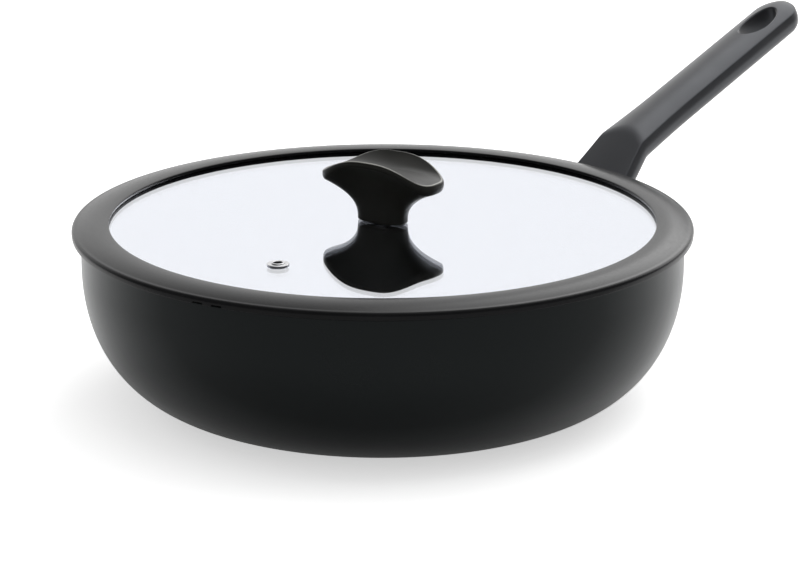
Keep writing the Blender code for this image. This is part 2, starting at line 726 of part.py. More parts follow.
def main():
    clear_scene()
    make_wok()
    make_plate()
    make_handle()
    lid = frame_axis("lid_axis", (0.0, 0.0, GLASS_TOP))
    vent_place = (VENT_DISTANCE * cos(VENT_AZIMUTH), VENT_DISTANCE * sin(VENT_AZIMUTH), 0.0)
    vent = frame_axis("vent_axis", vent_place, parent=lid)
    make_glass(lid, vent)
    make_seal(lid)
    knob_axis = make_knob(lid)
    make_knob_fastening(lid, knob_axis)
    make_vent(vent)


main()
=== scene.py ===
"""Lidded wok: a coated forged pan with a long moulded handle, and a glass lid with a silicone rim.

Metres, +Z up. The origin is the middle of the underside, on the table. The handle points along +X.
"""

from collections import namedtuple
from math import acos, copysign, cos, pi, radians, sin, tan, tau

import bmesh
import bpy
from bpy.props import FloatProperty, FloatVectorProperty, IntProperty, PointerProperty
from mathutils import Matrix, Vector


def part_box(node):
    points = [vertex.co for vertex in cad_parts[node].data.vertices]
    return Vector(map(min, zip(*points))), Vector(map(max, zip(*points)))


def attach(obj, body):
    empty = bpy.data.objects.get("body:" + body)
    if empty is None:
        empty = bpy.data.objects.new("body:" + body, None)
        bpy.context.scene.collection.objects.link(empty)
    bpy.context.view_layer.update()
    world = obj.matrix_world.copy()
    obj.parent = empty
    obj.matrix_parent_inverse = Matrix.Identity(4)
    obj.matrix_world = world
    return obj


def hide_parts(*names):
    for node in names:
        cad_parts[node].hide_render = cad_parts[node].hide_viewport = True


bl_info = {
    "name": "Lidded Wok",
    "version": (1, 0, 0),
    "blender": (4, 5, 0),
    "location": "View3D > Sidebar > Wok",
    "description": "Builds a wok with a long handle and a silicone-rimmed glass lid, piece by piece",
    "category": "Object",
}

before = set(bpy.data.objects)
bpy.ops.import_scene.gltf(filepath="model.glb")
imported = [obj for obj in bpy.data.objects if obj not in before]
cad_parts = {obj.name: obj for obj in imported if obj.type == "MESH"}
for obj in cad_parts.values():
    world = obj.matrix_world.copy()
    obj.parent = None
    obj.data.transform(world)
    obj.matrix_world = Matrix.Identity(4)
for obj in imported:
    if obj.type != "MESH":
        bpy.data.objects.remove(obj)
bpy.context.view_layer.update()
MM = 0.001
TINY = 1e-6

# Smallest and largest corners of the CAD pieces that set the main sizes
WOK_LOW, WOK_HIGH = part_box("wok_body")
GLASS_LOW, GLASS_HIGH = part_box("lid_glass")
RIM_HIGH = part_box("silicone_rim")[1]
PLATE_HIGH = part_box("induction_plate")[1]

# Gap between touching pieces, and play round a screw
GAP = 0.3 * MM
PLAY = 0.2 * MM

# How finely round shapes are cut, which edges shade sharp, and how close to its ends a face is held
LARGE_STEPS = 256
SMALL_STEPS = 64
ARC_STEP = radians(15)
BEVEL_STEPS = 4
SHARP_ANGLE = radians(32)
HOLD = 0.4 * MM


def linear(code):
    """Turn an sRGB hex colour into linear red, green, blue and alpha."""
    shares = [int(code[place : place + 2], 16) / 255 for place in (1, 3, 5)]
    return (*[s / 12.92 if s <= 0.04045 else ((s + 0.055) / 1.055) ** 2.4 for s in shares], 1.0)


def length(name, default, description):
    """A size that a user can change, in metres."""
    return FloatProperty(
        name=name, description=description, default=default, min=0.0, precision=5, unit="LENGTH"
    )


def angle(name, degrees, description):
    """An angle that a user can change."""
    return FloatProperty(name=name, description=description, default=radians(degrees), subtype="ANGLE")


def colour(name, code, description):
    """A colour that a user can change."""
    return FloatVectorProperty(
        name=name,
        description=description,
        default=linear(code),
        size=4,
        min=0.0,
        max=1.0,
        subtype="COLOR",
    )


class WokSizes(bpy.types.PropertyGroup):
    """Sizes of the pan and of the steel plate under it."""

    radius: length("Radius", WOK_HIGH.x, "Outside radius of the straight wall")
    height: length("Height", WOK_HIGH.z, "Height of the rim over the table")
    underside: length("Underside", WOK_LOW.z, "Height of the base ring over the table")
    wall: length("Wall", 2.8 * MM, "Thickness of the wall at the rim")
    floor: length("Floor", 4.5 * MM, "Thickness of the base")
    rim_round: length("Rim round", 1.2 * MM, "Fillet along the rim")
    base_radius: length("Base radius", 92.0 * MM, "Radius of the flat base")
    base_flare: length("Base flare", 24.2 * MM, "How far the base runs on before the side curves up")
    straight: length("Straight wall", 14.9 * MM, "Height of the upright band under the rim")
    belly: length("Belly", 43.9 * MM, "How far down the upright band pulls the side")
    plate_radius: length("Plate radius", PLATE_HIGH.x, "Radius of the induction plate")
    plate_thickness: length("Plate thickness", PLATE_HIGH.z, "Thickness of the induction plate")
    plate_bead: length("Plate bead", 2.4 * MM, "Width of the raised ring that the pan stands on")
    plate_field: length("Plate field", 0.22 * MM, "How far the plate's face lies over that ring")
    plate_boss: length("Plate boss", 4.588 * MM, "Radius of the plain disc in the plate's middle")
    dot_pitch: length("Dot pitch", 7.4 * MM, "Spacing of the dots of aluminium in the plate")
    dot_radius: length("Dot radius", 1.5 * MM, "Radius of one dot")
    dot_rise: length("Dot rise", 0.12 * MM, "How far a dot stands out of the plate")
    dot_rings: IntProperty(name="Dot rings", description="Rings of dots", default=10, min=1)


class LidSizes(bpy.types.PropertyGroup):
    """Sizes of the glass, its silicone rim and the steam vent."""

    glass_radius: length("Glass radius", GLASS_HIGH.x, "Radius of the glass disc")
    glass_top: length("Glass top", GLASS_HIGH.z, "Height of the glass's top face over the table")
    glass_thickness: length("Glass thickness", GLASS_HIGH.z - GLASS_LOW.z, "Thickness of the glass")
    glass_hole: length("Glass hole", 4.0 * MM, "Radius of the hole for the knob's screw")
    edge_round: length("Glass edge", 0.8 * MM, "Fillet of the glass's polished edge")
    rim_radius: length("Rim radius", RIM_HIGH.x, "Outside radius of the silicone rim")
    lip: length("Lip", 8.3 * MM, "How far the rim reaches in over the glass")
    lip_rise: length("Lip rise", RIM_HIGH.z - GLASS_HIGH.z, "Height of the rim's lip over the glass")
    proud: length("Glass proud", 3.1 * MM, "Height of the glass's top face over the rim's seat")
    side: length("Rim side", 3.4 * MM, "Height of the rim's outer side")
    crown: length("Rim crown", 0.8 * MM, "Bulge of the rim's sloping top")
    under_lip: length("Under lip", 2.0 * MM, "Thickness of the rim under the glass")
    skirt_drop: length("Skirt drop", 4.8 * MM, "How far the skirt reaches into the pan")
    skirt_play: length("Skirt play", 0.7 * MM, "Room between the skirt and the pan's wall")
    rim_shoulder: length("Rim shoulder", 1.8 * MM, "Fillet where the rim's top turns into its side")
    rim_edge: length("Rim edge", 0.6 * MM, "Fillet of the rim's moulded edges")
    notch_width: length("Notch width", 5.4 * MM, "Width of a steam notch")
    notch_height: length("Notch height", 1.1 * MM, "Height of a steam notch in the rim's side")
    notch_round: length("Notch round", 0.45 * MM, "Fillet of a notch's corners")
    notch_middle: angle("Notch place", -168.25, "Direction of the pair of steam notches")
    notch_spread: angle("Notch spread", 3.9, "Angle between the two notches")
    vent_azimuth: angle("Vent place", -169.9, "Direction of the vent from the lid's middle")
    vent_from_lip: length("Vent from lip", 43.0 * MM, "Distance of the vent from the rim's lip")
    vent_bore: length("Vent bore", 2.1 * MM, "Radius of the steam hole")
    vent_flange: length("Vent flange", 5.2 * MM, "Radius of the eyelet's flange")
    vent_collar: length("Vent collar", 3.2 * MM, "Radius of the eyelet's raised collar")


class KnobSizes(bpy.types.PropertyGroup):
    """Sizes of the saddle knob, over the top of the glass."""

    azimuth: angle("Turn", -80.0, "Direction of the knob's long axis")
    half_length: length("Half length", 31.3 * MM, "Half the knob's length")
    half_width: length("Half width", 14.6 * MM, "Half the knob's width")
    end_height: length("End height", 23.0 * MM, "Height of the rim at both ends")
    side_height: length("Side height", 31.6 * MM, "Height of the rim in the middle of the long sides")
    trough: length("Trough", 26.4 * MM, "Height of the middle of the top")
    end_edge: length("End edge", 5.2 * MM, "Height of the band under the rim at the ends")
    side_edge: length("Side edge", 3.0 * MM, "Height of the band under the rim at the sides")
    rim_round: length("Rim round", 1.5 * MM, "Fillet along the rim")
    foot_half_length: length("Foot half length", 12.7 * MM, "Half the foot's length")
    foot_half_width: length("Foot half width", 6.8 * MM, "Half the foot's width")
    foot_round: length("Foot round", 0.7 * MM, "Fillet of the foot's edge")
    foot_height: length("Foot height", 0.4 * MM, "Height of the foot's skirt over the glass")


class HandleSizes(bpy.types.PropertyGroup):
    """Sizes of the handle, from its fold."""

    fold_reach: length("Fold reach", 36.0 * MM, "Distance of the fold from the pan's wall")
    fold_rise: length("Fold rise", 10.6 * MM, "Height of the fold over the pan's rim")
    neck_angle: angle("Neck angle", 40.0, "Slope of the neck")
    grip_angle: angle("Grip angle", 19.8, "Slope of the grip")
    neck_reach: length("Neck reach", 74.0 * MM, "Length of the neck, measured into the wall")
    grip_length: length("Grip length", 148.5 * MM, "Length of the grip")
    neck_width: length("Neck width", 53.0 * MM, "Width of the neck inside the wall")
    fold_width: length("Fold width", 27.8 * MM, "Width at the fold")
    grip_width: length("Grip width", 24.4 * MM, "Width of the grip")
    taper: length("Taper", 45.0 * MM, "Length over which the grip narrows")
    neck_crown: length("Neck crown", 0.7 * MM, "Bulge of the neck's top")
    crown: length("Grip crown", 3.0 * MM, "Bulge of the grip's top")
    depth: length("Depth", 13.4 * MM, "Depth under the top's edges")
    side: length("Side", 4.5 * MM, "Height of the handle's upright side")
    bulge: length("Bulge", 1.0 * MM, "How far the side stands out past the top's edge")
    fold_softness: length("Fold softness", 0.3 * MM, "How softly the neck runs into the grip")
    fold_length: length("Fold length", 14.0 * MM, "Length over which the sides turn at the fold")
    end_round: length("End round", 13.0 * MM, "Radius of the handle's end")
    eye_centre: length("Eye centre", 122.5 * MM, "Distance of the hanging eye from the fold")
    eye_half_length: length("Eye half length", 14.6 * MM, "Half the eye's length")
    eye_half_width: length("Eye half width", 7.2 * MM, "Half the eye's width")
    eye_round: length("Eye round", 0.6 * MM, "Fillet of the eye's edge")


class Finishes(bpy.types.PropertyGroup):
    """Colours of the finishes that show."""

    lacquer: colour("Outside coating", "#0b0d0d", "Matt ceramic coating outside the pan")
    nonstick: colour("Inside coating", "#161718", "Non-stick coating inside the pan")
    silicone: colour("Rim silicone", "#181819", "Moulded silicone of the lid's rim")
    phenolic: colour("Knob phenolic", "#20201d", "Moulded phenolic of the knob")
    soft_touch: colour("Handle coating", "#1d1d1f", "Soft-touch coating of the handle")
    glass: colour("Glass", "#f8faff", "Tempered glass of the lid")


class StageSettings(bpy.types.PropertyGroup):
    """Camera and floor."""

    azimuth: angle("Azimuth", -47.0, "Direction that the camera looks in, from +Y")
    elevation: angle("Elevation", 15.8, "Height of the camera over the rim, as an angle")
    tilt: angle("Tilt", 17.068, "How far the camera looks down")
    distance: length("Distance", 1.48, "Distance of the camera from the middle of the rim")
    sideways: length("Sideways", 8.17 * MM, "How far the camera stands right of the middle")
    aim_height: length("Aim height", 83.5 * MM, "Height of the rim's widest line")
    lens: FloatProperty(
        name="Lens", description="Focal length for a 36 mm sensor", default=0.13963, unit="CAMERA"
    )
    floor_size: length("Floor size", 12.0, "Width of the floor")


SETTINGS = {
    "wok_sizes": WokSizes,
    "wok_lid": LidSizes,
    "wok_knob": KnobSizes,
    "wok_handle": HandleSizes,
    "wok_finishes": Finishes,
    "wok_stage": StageSettings,
}


# Node trees

# Kinds of node. A mix node's sockets go by place: 0 is the share, 2 and 3 are numbers, 6 and 7 colours.
MATH = "ShaderNodeMath"
VECTOR_MATH = "ShaderNodeVectorMath"
MIX = "ShaderNodeMix"
MAP_RANGE = "ShaderNodeMapRange"


def add_node(tree, kind, inputs=(), **settings):
    """Add a node with its settings, and return its outputs.

    Its inputs come in the order of its sockets, or by name or place. A number is set, an output linked.
    """
    node = tree.nodes.new(kind)
    for name, value in settings.items():
        setattr(node, name, value)
    for socket, value in inputs.items() if isinstance(inputs, dict) else enumerate(inputs):
        if isinstance(value, bpy.types.NodeSocket):
            tree.links.new(value, node.inputs[socket])
        else:
            node.inputs[socket].default_value = value
    return node.outputs


def new_tree(name, **inputs):
    """Start a geometry node tree with named inputs, and return it with its inputs' outputs."""
    tree = bpy.data.node_groups.new(name, "GeometryNodeTree")
    for socket, kind in {"Geometry": "Geometry", "Material": "Material", **inputs}.items():
        tree.interface.new_socket(socket, in_out="INPUT", socket_type=f"NodeSocket{kind}")
    tree.interface.new_socket("Geometry", in_out="OUTPUT", socket_type="NodeSocketGeometry")
    return tree, add_node(tree, "NodeGroupInput")


def end_tree(tree, given, geometry):
    """End a tree with its instances made real and its material set."""
    real = add_node(tree, "GeometryNodeRealizeInstances", {"Geometry": geometry})
    painted = add_node(
        tree, "GeometryNodeSetMaterial", {"Geometry": real[0], "Material": given["Material"]}
    )
    add_node(tree, "NodeGroupOutput", {"Geometry": painted[0]})


def turning_tree():
    """Tree that turns an outline, a row of points in the XZ plane, round the Z axis."""
    tree, given = new_tree("turned_outline", Steps="Int")
    size = add_node(tree, "GeometryNodeAttributeDomainSize", {"Geometry": given["Geometry"]})
    count = size["Point Count"]
    across = add_node(tree, MATH, [given["Steps"], 1], operation="ADD")[0]
    grid = add_node(tree, "GeometryNodeMeshGrid", {"Vertices X": across, "Vertices Y": count})
    index = add_node(tree, "GeometryNodeInputIndex")[0]
    row = add_node(tree, MATH, [index, count], operation="MODULO")[0]
    columns = add_node(tree, MATH, [index, count], operation="DIVIDE")[0]
    column = add_node(tree, MATH, [columns], operation="FLOOR")[0]
    share = add_node(tree, MATH, [column, given["Steps"]], operation="DIVIDE")[0]
    turn = add_node(tree, MATH, [share, tau], operation="MULTIPLY")[0]
    place = add_node(tree, "GeometryNodeInputPosition")[0]
    sampled = {"Geometry": given["Geometry"], "Value": place, "Index": row}
    point = add_node(tree, "GeometryNodeSampleIndex", sampled, data_type="FLOAT_VECTOR")[0]
    rotated = {"Vector": point, "Angle": turn}
    spot = add_node(tree, "ShaderNodeVectorRotate", rotated, rotation_type="Z_AXIS")[0]
    shaped = add_node(tree, "GeometryNodeSetPosition", {"Geometry": grid["Mesh"], "Position": spot})
    merged = add_node(
        tree, "GeometryNodeMergeByDistance", {"Geometry": shaped[0], "Distance": TINY}
    )
    end_tree(tree, given, merged[0])
    return tree


def thread_tree():
    """Tree that cuts a helical thread into a round shank between two heights."""
    tree, given = new_tree(
        "cut_thread", Pitch="Float", Depth="Float", Radius="Float", Low="Float", High="Float"
    )
    place = add_node(tree, "GeometryNodeInputPosition")[0]
    x, y, z = add_node(tree, "ShaderNodeSeparateXYZ", [place])
    bearing = add_node(tree, MATH, [y, x], operation="ARCTAN2")[0]
    turn = add_node(tree, MATH, [bearing, tau], operation="DIVIDE")[0]
    height = add_node(tree, MATH, [z, given["Pitch"]], operation="DIVIDE")[0]
    wound = add_node(tree, MATH, [height, turn], operation="SUBTRACT")[0]
    phase = add_node(tree, MATH, [wound], operation="FRACT")[0]
    swing = add_node(tree, MATH, [phase, 2, -1], operation="MULTIPLY_ADD")[0]
    ridge = add_node(tree, MATH, [swing], operation="ABSOLUTE")[0]
    above = add_node(tree, MATH, [z, given["Low"]], operation="GREATER_THAN")[0]
    below = add_node(tree, MATH, [z, given["High"]], operation="LESS_THAN")[0]
    between = add_node(tree, MATH, [above, below], operation="MULTIPLY")[0]
    groove = add_node(tree, MATH, [between, ridge], operation="MULTIPLY")[0]
    depth = add_node(tree, MATH, [given["Depth"], given["Radius"]], operation="DIVIDE")[0]
    share = add_node(tree, MATH, [groove, depth], operation="MULTIPLY")[0]
    shrink = add_node(tree, MATH, [1, share], operation="SUBTRACT")[0]
    scale = add_node(tree, "ShaderNodeCombineXYZ", [shrink, shrink, 1])[0]
    moved = add_node(tree, VECTOR_MATH, [place, scale], operation="MULTIPLY")[0]
    shaped = add_node(
        tree, "GeometryNodeSetPosition", {"Geometry": given["Geometry"], "Position": moved}
    )
    end_tree(tree, given, shaped[0])
    return tree


def dots_tree():
    """Tree that sets flat domes in rings round a middle, six more in each ring than in the last."""
    tree, given = new_tree(
        "rings_of_dots", Count="Int", Pitch="Float", Radius="Float", Rise="Float", Height="Float"
    )
    index = add_node(tree, "GeometryNodeInputIndex")[0]
    square = add_node(tree, MATH, [index, 12, 9], operation="MULTIPLY_ADD")[0]
    root = add_node(tree, MATH, [square], operation="SQRT")[0]
    raised = add_node(tree, MATH, [root, 3 + TINY], operation="ADD")[0]
    rings = add_node(tree, MATH, [raised, 6], operation="DIVIDE")[0]
    ring = add_node(tree, MATH, [rings], operation="FLOOR")[0]
    inner = add_node(tree, MATH, [ring, 1], operation="SUBTRACT")[0]
    pairs = add_node(tree, MATH, [ring, inner], operation="MULTIPLY")[0]
    before = add_node(tree, MATH, [pairs, 3], operation="MULTIPLY")[0]
    place = add_node(tree, MATH, [index, before], operation="SUBTRACT")[0]
    places = add_node(tree, MATH, [ring, 6], operation="MULTIPLY")[0]
    share = add_node(tree, MATH, [place, places], operation="DIVIDE")[0]
    turn = add_node(tree, MATH, [share, tau], operation="MULTIPLY")[0]
    reach = add_node(tree, MATH, [ring, given["Pitch"]], operation="MULTIPLY")[0]
    spoke = add_node(tree, "ShaderNodeCombineXYZ", {"X": reach, "Z": given["Height"]})[0]
    rotated = {"Vector": spoke, "Angle": turn}
    spot = add_node(tree, "ShaderNodeVectorRotate", rotated, rotation_type="Z_AXIS")[0]
    points = add_node(tree, "GeometryNodePoints", {"Count": given["Count"], "Position": spot})
    dome = add_node(tree, "GeometryNodeMeshUVSphere", {"Segments": 12, "Rings": 4, "Radius": 1.0})
    scale = add_node(tree, "ShaderNodeCombineXYZ", [given["Radius"], given["Radius"], given["Rise"]])
    copied = {"Points": points[0], "Instance": dome["Mesh"], "Scale": scale[0]}
    copies = add_node(tree, "GeometryNodeInstanceOnPoints", copied)
    end_tree(tree, given, copies[0])
    return tree


def keep_finishes(mesh, finishes):
    """Leave a mesh only these finishes. A face that has none of them takes the first."""
    old = list(mesh.materials)
    places = [finishes.index(finish) if finish in finishes else 0 for finish in old]
    indices = [places[face.material_index] if places else 0 for face in mesh.polygons]
    mesh.materials.clear()
    for finish in finishes:
        mesh.materials.append(finish)
    mesh.polygons.foreach_set("material_index", indices)
    return mesh


def add_object(name, data):
    """New object in the scene."""
    made = bpy.data.objects.new(name, data)
    bpy.context.scene.collection.objects.link(made)
    return made


def evaluated(carrier, finishes, helpers=()):
    """Plain mesh that a carrier's modifiers make, with these finishes. The carrier and helpers go."""
    carrier.update_tag()
    graph = bpy.context.evaluated_depsgraph_get()
    graph.update()
    made = bpy.data.meshes.new_from_object(carrier.evaluated_get(graph))
    for helper in (carrier, *helpers):
        bpy.data.objects.remove(helper)
    return keep_finishes(made, finishes)


def run_tree(mesh, tree, material, values):
    """Mesh that a geometry node tree makes of another mesh, with its named inputs set."""
    values = {"Material": material, **values}
    carrier = add_object("carrier", mesh)
    modifier = carrier.modifiers.new("nodes", "NODES")
    modifier.node_group = tree
    for item in tree.interface.items_tree:
        if item.in_out == "INPUT" and item.name in values:
            modifier[item.identifier] = values[item.name]
    return evaluated(carrier, [material])


def shared_tree(name, make):
    """Node tree of this name, made the first time it is asked for."""
    return bpy.data.node_groups.get(name) or make()


# Meshes


def rounded(corners, step=ARC_STEP):
    """Outline through (r, z, round) corners, each turned into an arc of that radius."""
    outline = []
    count = len(corners)
    for index, (r, z, radius) in enumerate(corners):
        here = Vector((r, z))
        if radius <= 0.0:
            outline.append((r, z))
            continue
        before = (Vector(corners[index - 1][:2]) - here).normalized()
        after = (Vector(corners[(index + 1) % count][:2]) - here).normalized()
        half = acos(max(-1.0, min(1.0, before.dot(after)))) / 2
        centre = here + (before + after).normalized() * radius / sin(half)
        first = here + before * radius / tan(half) - centre
        last = here + after * radius / tan(half) - centre
        swept = first.angle_signed(last)
        pieces = max(1, round(abs(swept) / step))
        for part in range(pieces + 1):
            turn = Matrix.Rotation(-swept * part / pieces, 2)
            outline.append(tuple(centre + turn @ first))
    return outline


def held(outline):
    """Outline with a point added near both ends of each long straight, so that flat faces shade flat."""
    points = []
    closed = outline[0][0] > TINY
    ends = outline[1:] + outline[:1] if closed else outline[1:]
    for start, end in zip(outline, ends):
        points.append(start)
        run = Vector(end) - Vector(start)
        if run.length > 6 * HOLD:
            points.append(tuple(Vector(start) + run.normalized() * HOLD))
            points.append(tuple(Vector(end) - run.normalized() * HOLD))
    return points if closed else points + [outline[-1]]


def turned(outline, material, steps=SMALL_STEPS):
    """Mesh of an outline of (r, z) points turned round the Z axis. One from r = 0 ends there too."""
    points = [(r, 0.0, z) for r, z in held(outline)]
    if outline[0][0] > TINY:
        points.append(points[0])
    row = bpy.data.meshes.new("outline")
    row.from_pydata(points, [(i, i + 1) for i in range(len(points) - 1)], [])
    tree = shared_tree("turned_outline", turning_tree)
    return run_tree(row, tree, material, {"Steps": steps})


def lofted(loops, material):
    """Mesh skinned over a row of point loops that all have the same count, with both ends closed."""
    count = len(loops[0])
    points = [point for loop in loops for point in loop]
    faces = []
    for row in range(len(loops) - 1):
        low, high = row * count, (row + 1) * count
        for index in range(count):
            after = (index + 1) % count
            faces.append((low + index, low + after, high + after, high + index))
    for row, loop in ((0, loops[0]), (len(loops) - 1, loops[-1])):
        middle = sum((Vector(point) for point in loop), Vector()) / count
        centre = len(points)
        points.append(tuple(middle))
        for index in range(count):
            faces.append((centre, row * count + index, row * count + (index + 1) % count))
    mesh = bpy.data.meshes.new("loft")
    mesh.from_pydata(points, [], faces)
    mesh.materials.append(material)
    return mesh


def block(low, high, material=None, bevel=0.0):
    """Mesh of a box between two corners, with its edges rounded."""
    bm = bmesh.new()
    bmesh.ops.create_cube(bm, size=1.0)
    low, high = Vector(low), Vector(high)
    bmesh.ops.scale(bm, vec=high - low, verts=bm.verts)
    bmesh.ops.translate(bm, vec=(low + high) / 2, verts=bm.verts)
    if bevel > 0.0:
        edges = bm.edges[:]
        bmesh.ops.bevel(bm, geom=edges, offset=bevel, segments=BEVEL_STEPS, profile=0.5, affect="EDGES")
    mesh = bpy.data.meshes.new("block")
    bm.to_mesh(mesh)
    bm.free()
    if material:
        mesh.materials.append(material)
    return mesh


def outwards(mesh):
    """Close the seams of a mesh and point its faces out."""
    bm = bmesh.new()
    bm.from_mesh(mesh)
    bmesh.ops.remove_doubles(bm, verts=bm.verts, dist=TINY)
    bmesh.ops.recalc_face_normals(bm, faces=bm.faces)
    bm.to_mesh(mesh)
    bm.free()


def cut(mesh, cutters, operation="DIFFERENCE"):
    """Mesh left when each of these closed meshes is cut from it, or joined to it."""
    outwards(mesh)
    carrier = add_object("carrier", mesh)
    helpers = []
    for cutter in cutters:
        outwards(cutter)
        helper = add_object("cutter", cutter)
        boolean = carrier.modifiers.new("cut", "BOOLEAN")
        boolean.operation = operation
        boolean.solver = "EXACT"
        boolean.object = helper
        helpers.append(helper)
    return evaluated(carrier, list(mesh.materials), helpers)


def placed(mesh, place):
    """Move a mesh's points and give it back."""
    mesh.transform(place)
    return mesh


def settle(name, mesh, body, nodes, place=None):
    """Make a finished mesh a piece that rides on its body and stands for its CAD nodes."""
    if place is not None:
        mesh.transform(place)
    outwards(mesh)
    mesh.shade_smooth()
    mesh.set_sharp_from_angle(angle=SHARP_ANGLE)
    mesh.name = name
    piece = add_object(name, mesh)
    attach(piece, body)
    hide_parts(*nodes)


def bezier(start, first, second, end, t):
    """Point and direction on a cubic curve."""
    s = 1.0 - t
    place = start * s**3 + first * 3 * s * s * t + second * 3 * s * t * t + end * t**3
    heading = (first - start) * s * s + (second - first) * 2 * s * t + (end - second) * t * t
    return place, heading.normalized()


def full(value, power):
    """Value raised to a power with its sign kept, for loops fuller than an oval."""
    return copysign(abs(value) ** power, value)


# Finishes

# Part of a noise's range that shows, and the Facing values between which a matt face starts to shine
MIDDLE = (0.3, 0.7)
LOW_ANGLES = (0.35, 0.8)

Finish = namedtuple("Finish", "material tree sockets place")


def start_finish(name, fixed):
    """New material with fixed values on its shader's sockets, and each point's place on the object."""
    material = bpy.data.materials.new(name)
    material.use_nodes = True
    tree = material.node_tree
    sockets = tree.nodes["Principled BSDF"].inputs
    for socket, value in fixed.items():
        sockets[socket].default_value = value
    return Finish(material, tree, sockets, add_node(tree, "ShaderNodeTexCoord")["Object"])


def blotches(made, size, detail=2.0):
    """Pattern whose blotches are about this many metres across."""
    scaled = add_node(made.tree, "ShaderNodeMapping", {"Vector": made.place, "Scale": [1 / size] * 3})
    inputs = {"Vector": scaled[0], "Scale": 1.0, "Detail": detail}
    return add_node(made.tree, "ShaderNodeTexNoise", inputs)[0]


def mottle(made, stain, run, shades, cloud, roughness):
    """Run the colour between two shades as a stain runs up, and the roughness as a cloud does."""
    share = add_node(made.tree, MAP_RANGE, [stain, *run])[0]
    mixed = add_node(made.tree, MIX, {0: share, 6: shades[0], 7: shades[1]}, data_type="RGBA")[2]
    rough = add_node(made.tree, MAP_RANGE, [cloud, *MIDDLE, *roughness])[0]
    made.tree.links.new(mixed, made.sockets["Base Color"])
    made.tree.links.new(rough, made.sockets["Roughness"])


def shades_of(tone, *levels):
    """Shades of a linear colour at these levels of its brightness."""
    return [[*(min(1.0, part * level) for part in tone[:3]), 1.0] for level in levels]


def cloudy_finish(name, tone, size, levels, roughness, fixed):
    """Start a finish whose soft clouds, about this wide, change its colour and its roughness."""
    made = start_finish(name, fixed)
    cloud = blotches(made, size)
    mottle(made, cloud, MIDDLE, shades_of(tone, *levels), cloud, roughness)
    return made


def grain(made, size, depth, detail=2.0):
    """Raise a surface in blotches of this width and depth, and return its material.

    Real grain is too fine to show, so it is drawn about five times as coarse.
    """
    inputs = {"Distance": depth, "Height": blotches(made, size, detail)}
    raised = add_node(made.tree, "ShaderNodeBump", {"Strength": 1.0, **inputs})
    made.tree.links.new(raised[0], made.sockets["Normal"])
    return made.material


def grooves(made, pitch, depth):
    """Raise a surface in rings round the Z axis, as a lathe leaves them, and return its material.

    Real turning marks are too fine to show, so their pitch is drawn about five times as coarse.
    """
    tree = made.tree
    flat = add_node(tree, VECTOR_MATH, [made.place, (1.0, 1.0, 0.0)], operation="MULTIPLY")[0]
    reach = add_node(tree, VECTOR_MATH, [flat], operation="LENGTH")["Value"]
    turns = add_node(tree, MATH, [reach, tau / pitch], operation="MULTIPLY")[0]
    wave = add_node(tree, MATH, [turns], operation="SINE")[0]
    raised = add_node(tree, "ShaderNodeBump", {"Strength": 1.0, "Distance": depth, "Height": wave})
    tree.links.new(raised[0], made.sockets["Normal"])
    return made.material


def by_angle(made, angles, levels, **settings):
    """Output that runs between two levels as a face turns away from the eye."""
    facing = add_node(made.tree, "ShaderNodeLayerWeight", {"Blend": 0.5})["Facing"]
    return add_node(made.tree, MAP_RANGE, [facing, *angles, *levels], **settings)[0]


def shine(made, face_on, low_angle):
    """Let a matt face shine more at a low angle than face on, between two specular levels."""
    level = by_angle(made, LOW_ANGLES, (face_on, low_angle))
    made.tree.links.new(level, made.sockets["Specular IOR Level"])


def lacquer_finish(tone):
    """Sprayed ceramic coating, matt black: a faint orange peel and a slightly uneven sheen."""
    fixed = {"IOR": 1.45, "Specular Tint": linear("#f3fdff")}
    made = cloudy_finish("matt_ceramic_coating", tone, 38 * MM, (0.88, 1.12), (0.2, 0.25), fixed)
    shine(made, 0.18, 0.5)
    return grain(made, 1.1 * MM, 0.006 * MM)


def nonstick_finish(tone):
    """Non-stick coating over a turned inside: fine rings under a soft gloss, with mica flecks."""
    made = start_finish("nonstick_coating", {})
    flecks = blotches(made, 0.5 * MM, 0.0)
    mica = (tone, linear("#5b5d60"))
    mottle(made, flecks, (0.72, 0.78), mica, blotches(made, 30 * MM), (0.26, 0.34))
    return grooves(made, 1.2 * MM, 0.01 * MM)


def turned_metal_finish(name, code, rough, pitch):
    """Metal faced on a lathe: bright, with fine rings that spread the light outwards."""
    levels, roughness = (0.94, 1.05), (0.85 * rough, 1.15 * rough)
    made = cloudy_finish(name, linear(code), 12 * MM, levels, roughness, {"Metallic": 1.0})
    return grooves(made, pitch, 0.02 * MM)


def worked_metal_finish(name, code, rough):
    """Plated, cast or drawn metal: a soft blotchy sheen with fine marks."""
    levels, roughness = (0.92, 1.06), (0.8 * rough, 1.2 * rough)
    made = cloudy_finish(name, linear(code), 3 * MM, levels, roughness, {"Metallic": 1.0})
    return grain(made, 0.25 * MM, 0.006 * MM, 3.0)


def silicone_finish(name, tone, roughness):
    """Compression-moulded silicone: dull and fine-grained, with a few paler scuffs of dust."""
    made = start_finish(name, {"IOR": 1.41})
    dust = blotches(made, 1.6 * MM, 4.0)
    scuffs = add_node(made.tree, MATH, [blotches(made, 22 * MM), dust], operation="MULTIPLY")[0]
    mottle(made, scuffs, (0.18, 0.42), shades_of(tone, 0.9, 1.15), dust, roughness)
    shine(made, 0.12, 0.55)
    return grain(made, 0.45 * MM, 0.012 * MM, 3.0)


def phenolic_finish(name, tone, roughness):
    """Moulded phenolic: dense black, satin from a spark-eroded mould, with soft flow clouds."""
    made = cloudy_finish(name, tone, 14 * MM, (0.9, 1.15), roughness, {"IOR": 1.55})
    shine(made, 0.15, 0.28)
    return grain(made, 0.35 * MM, 0.004 * MM)


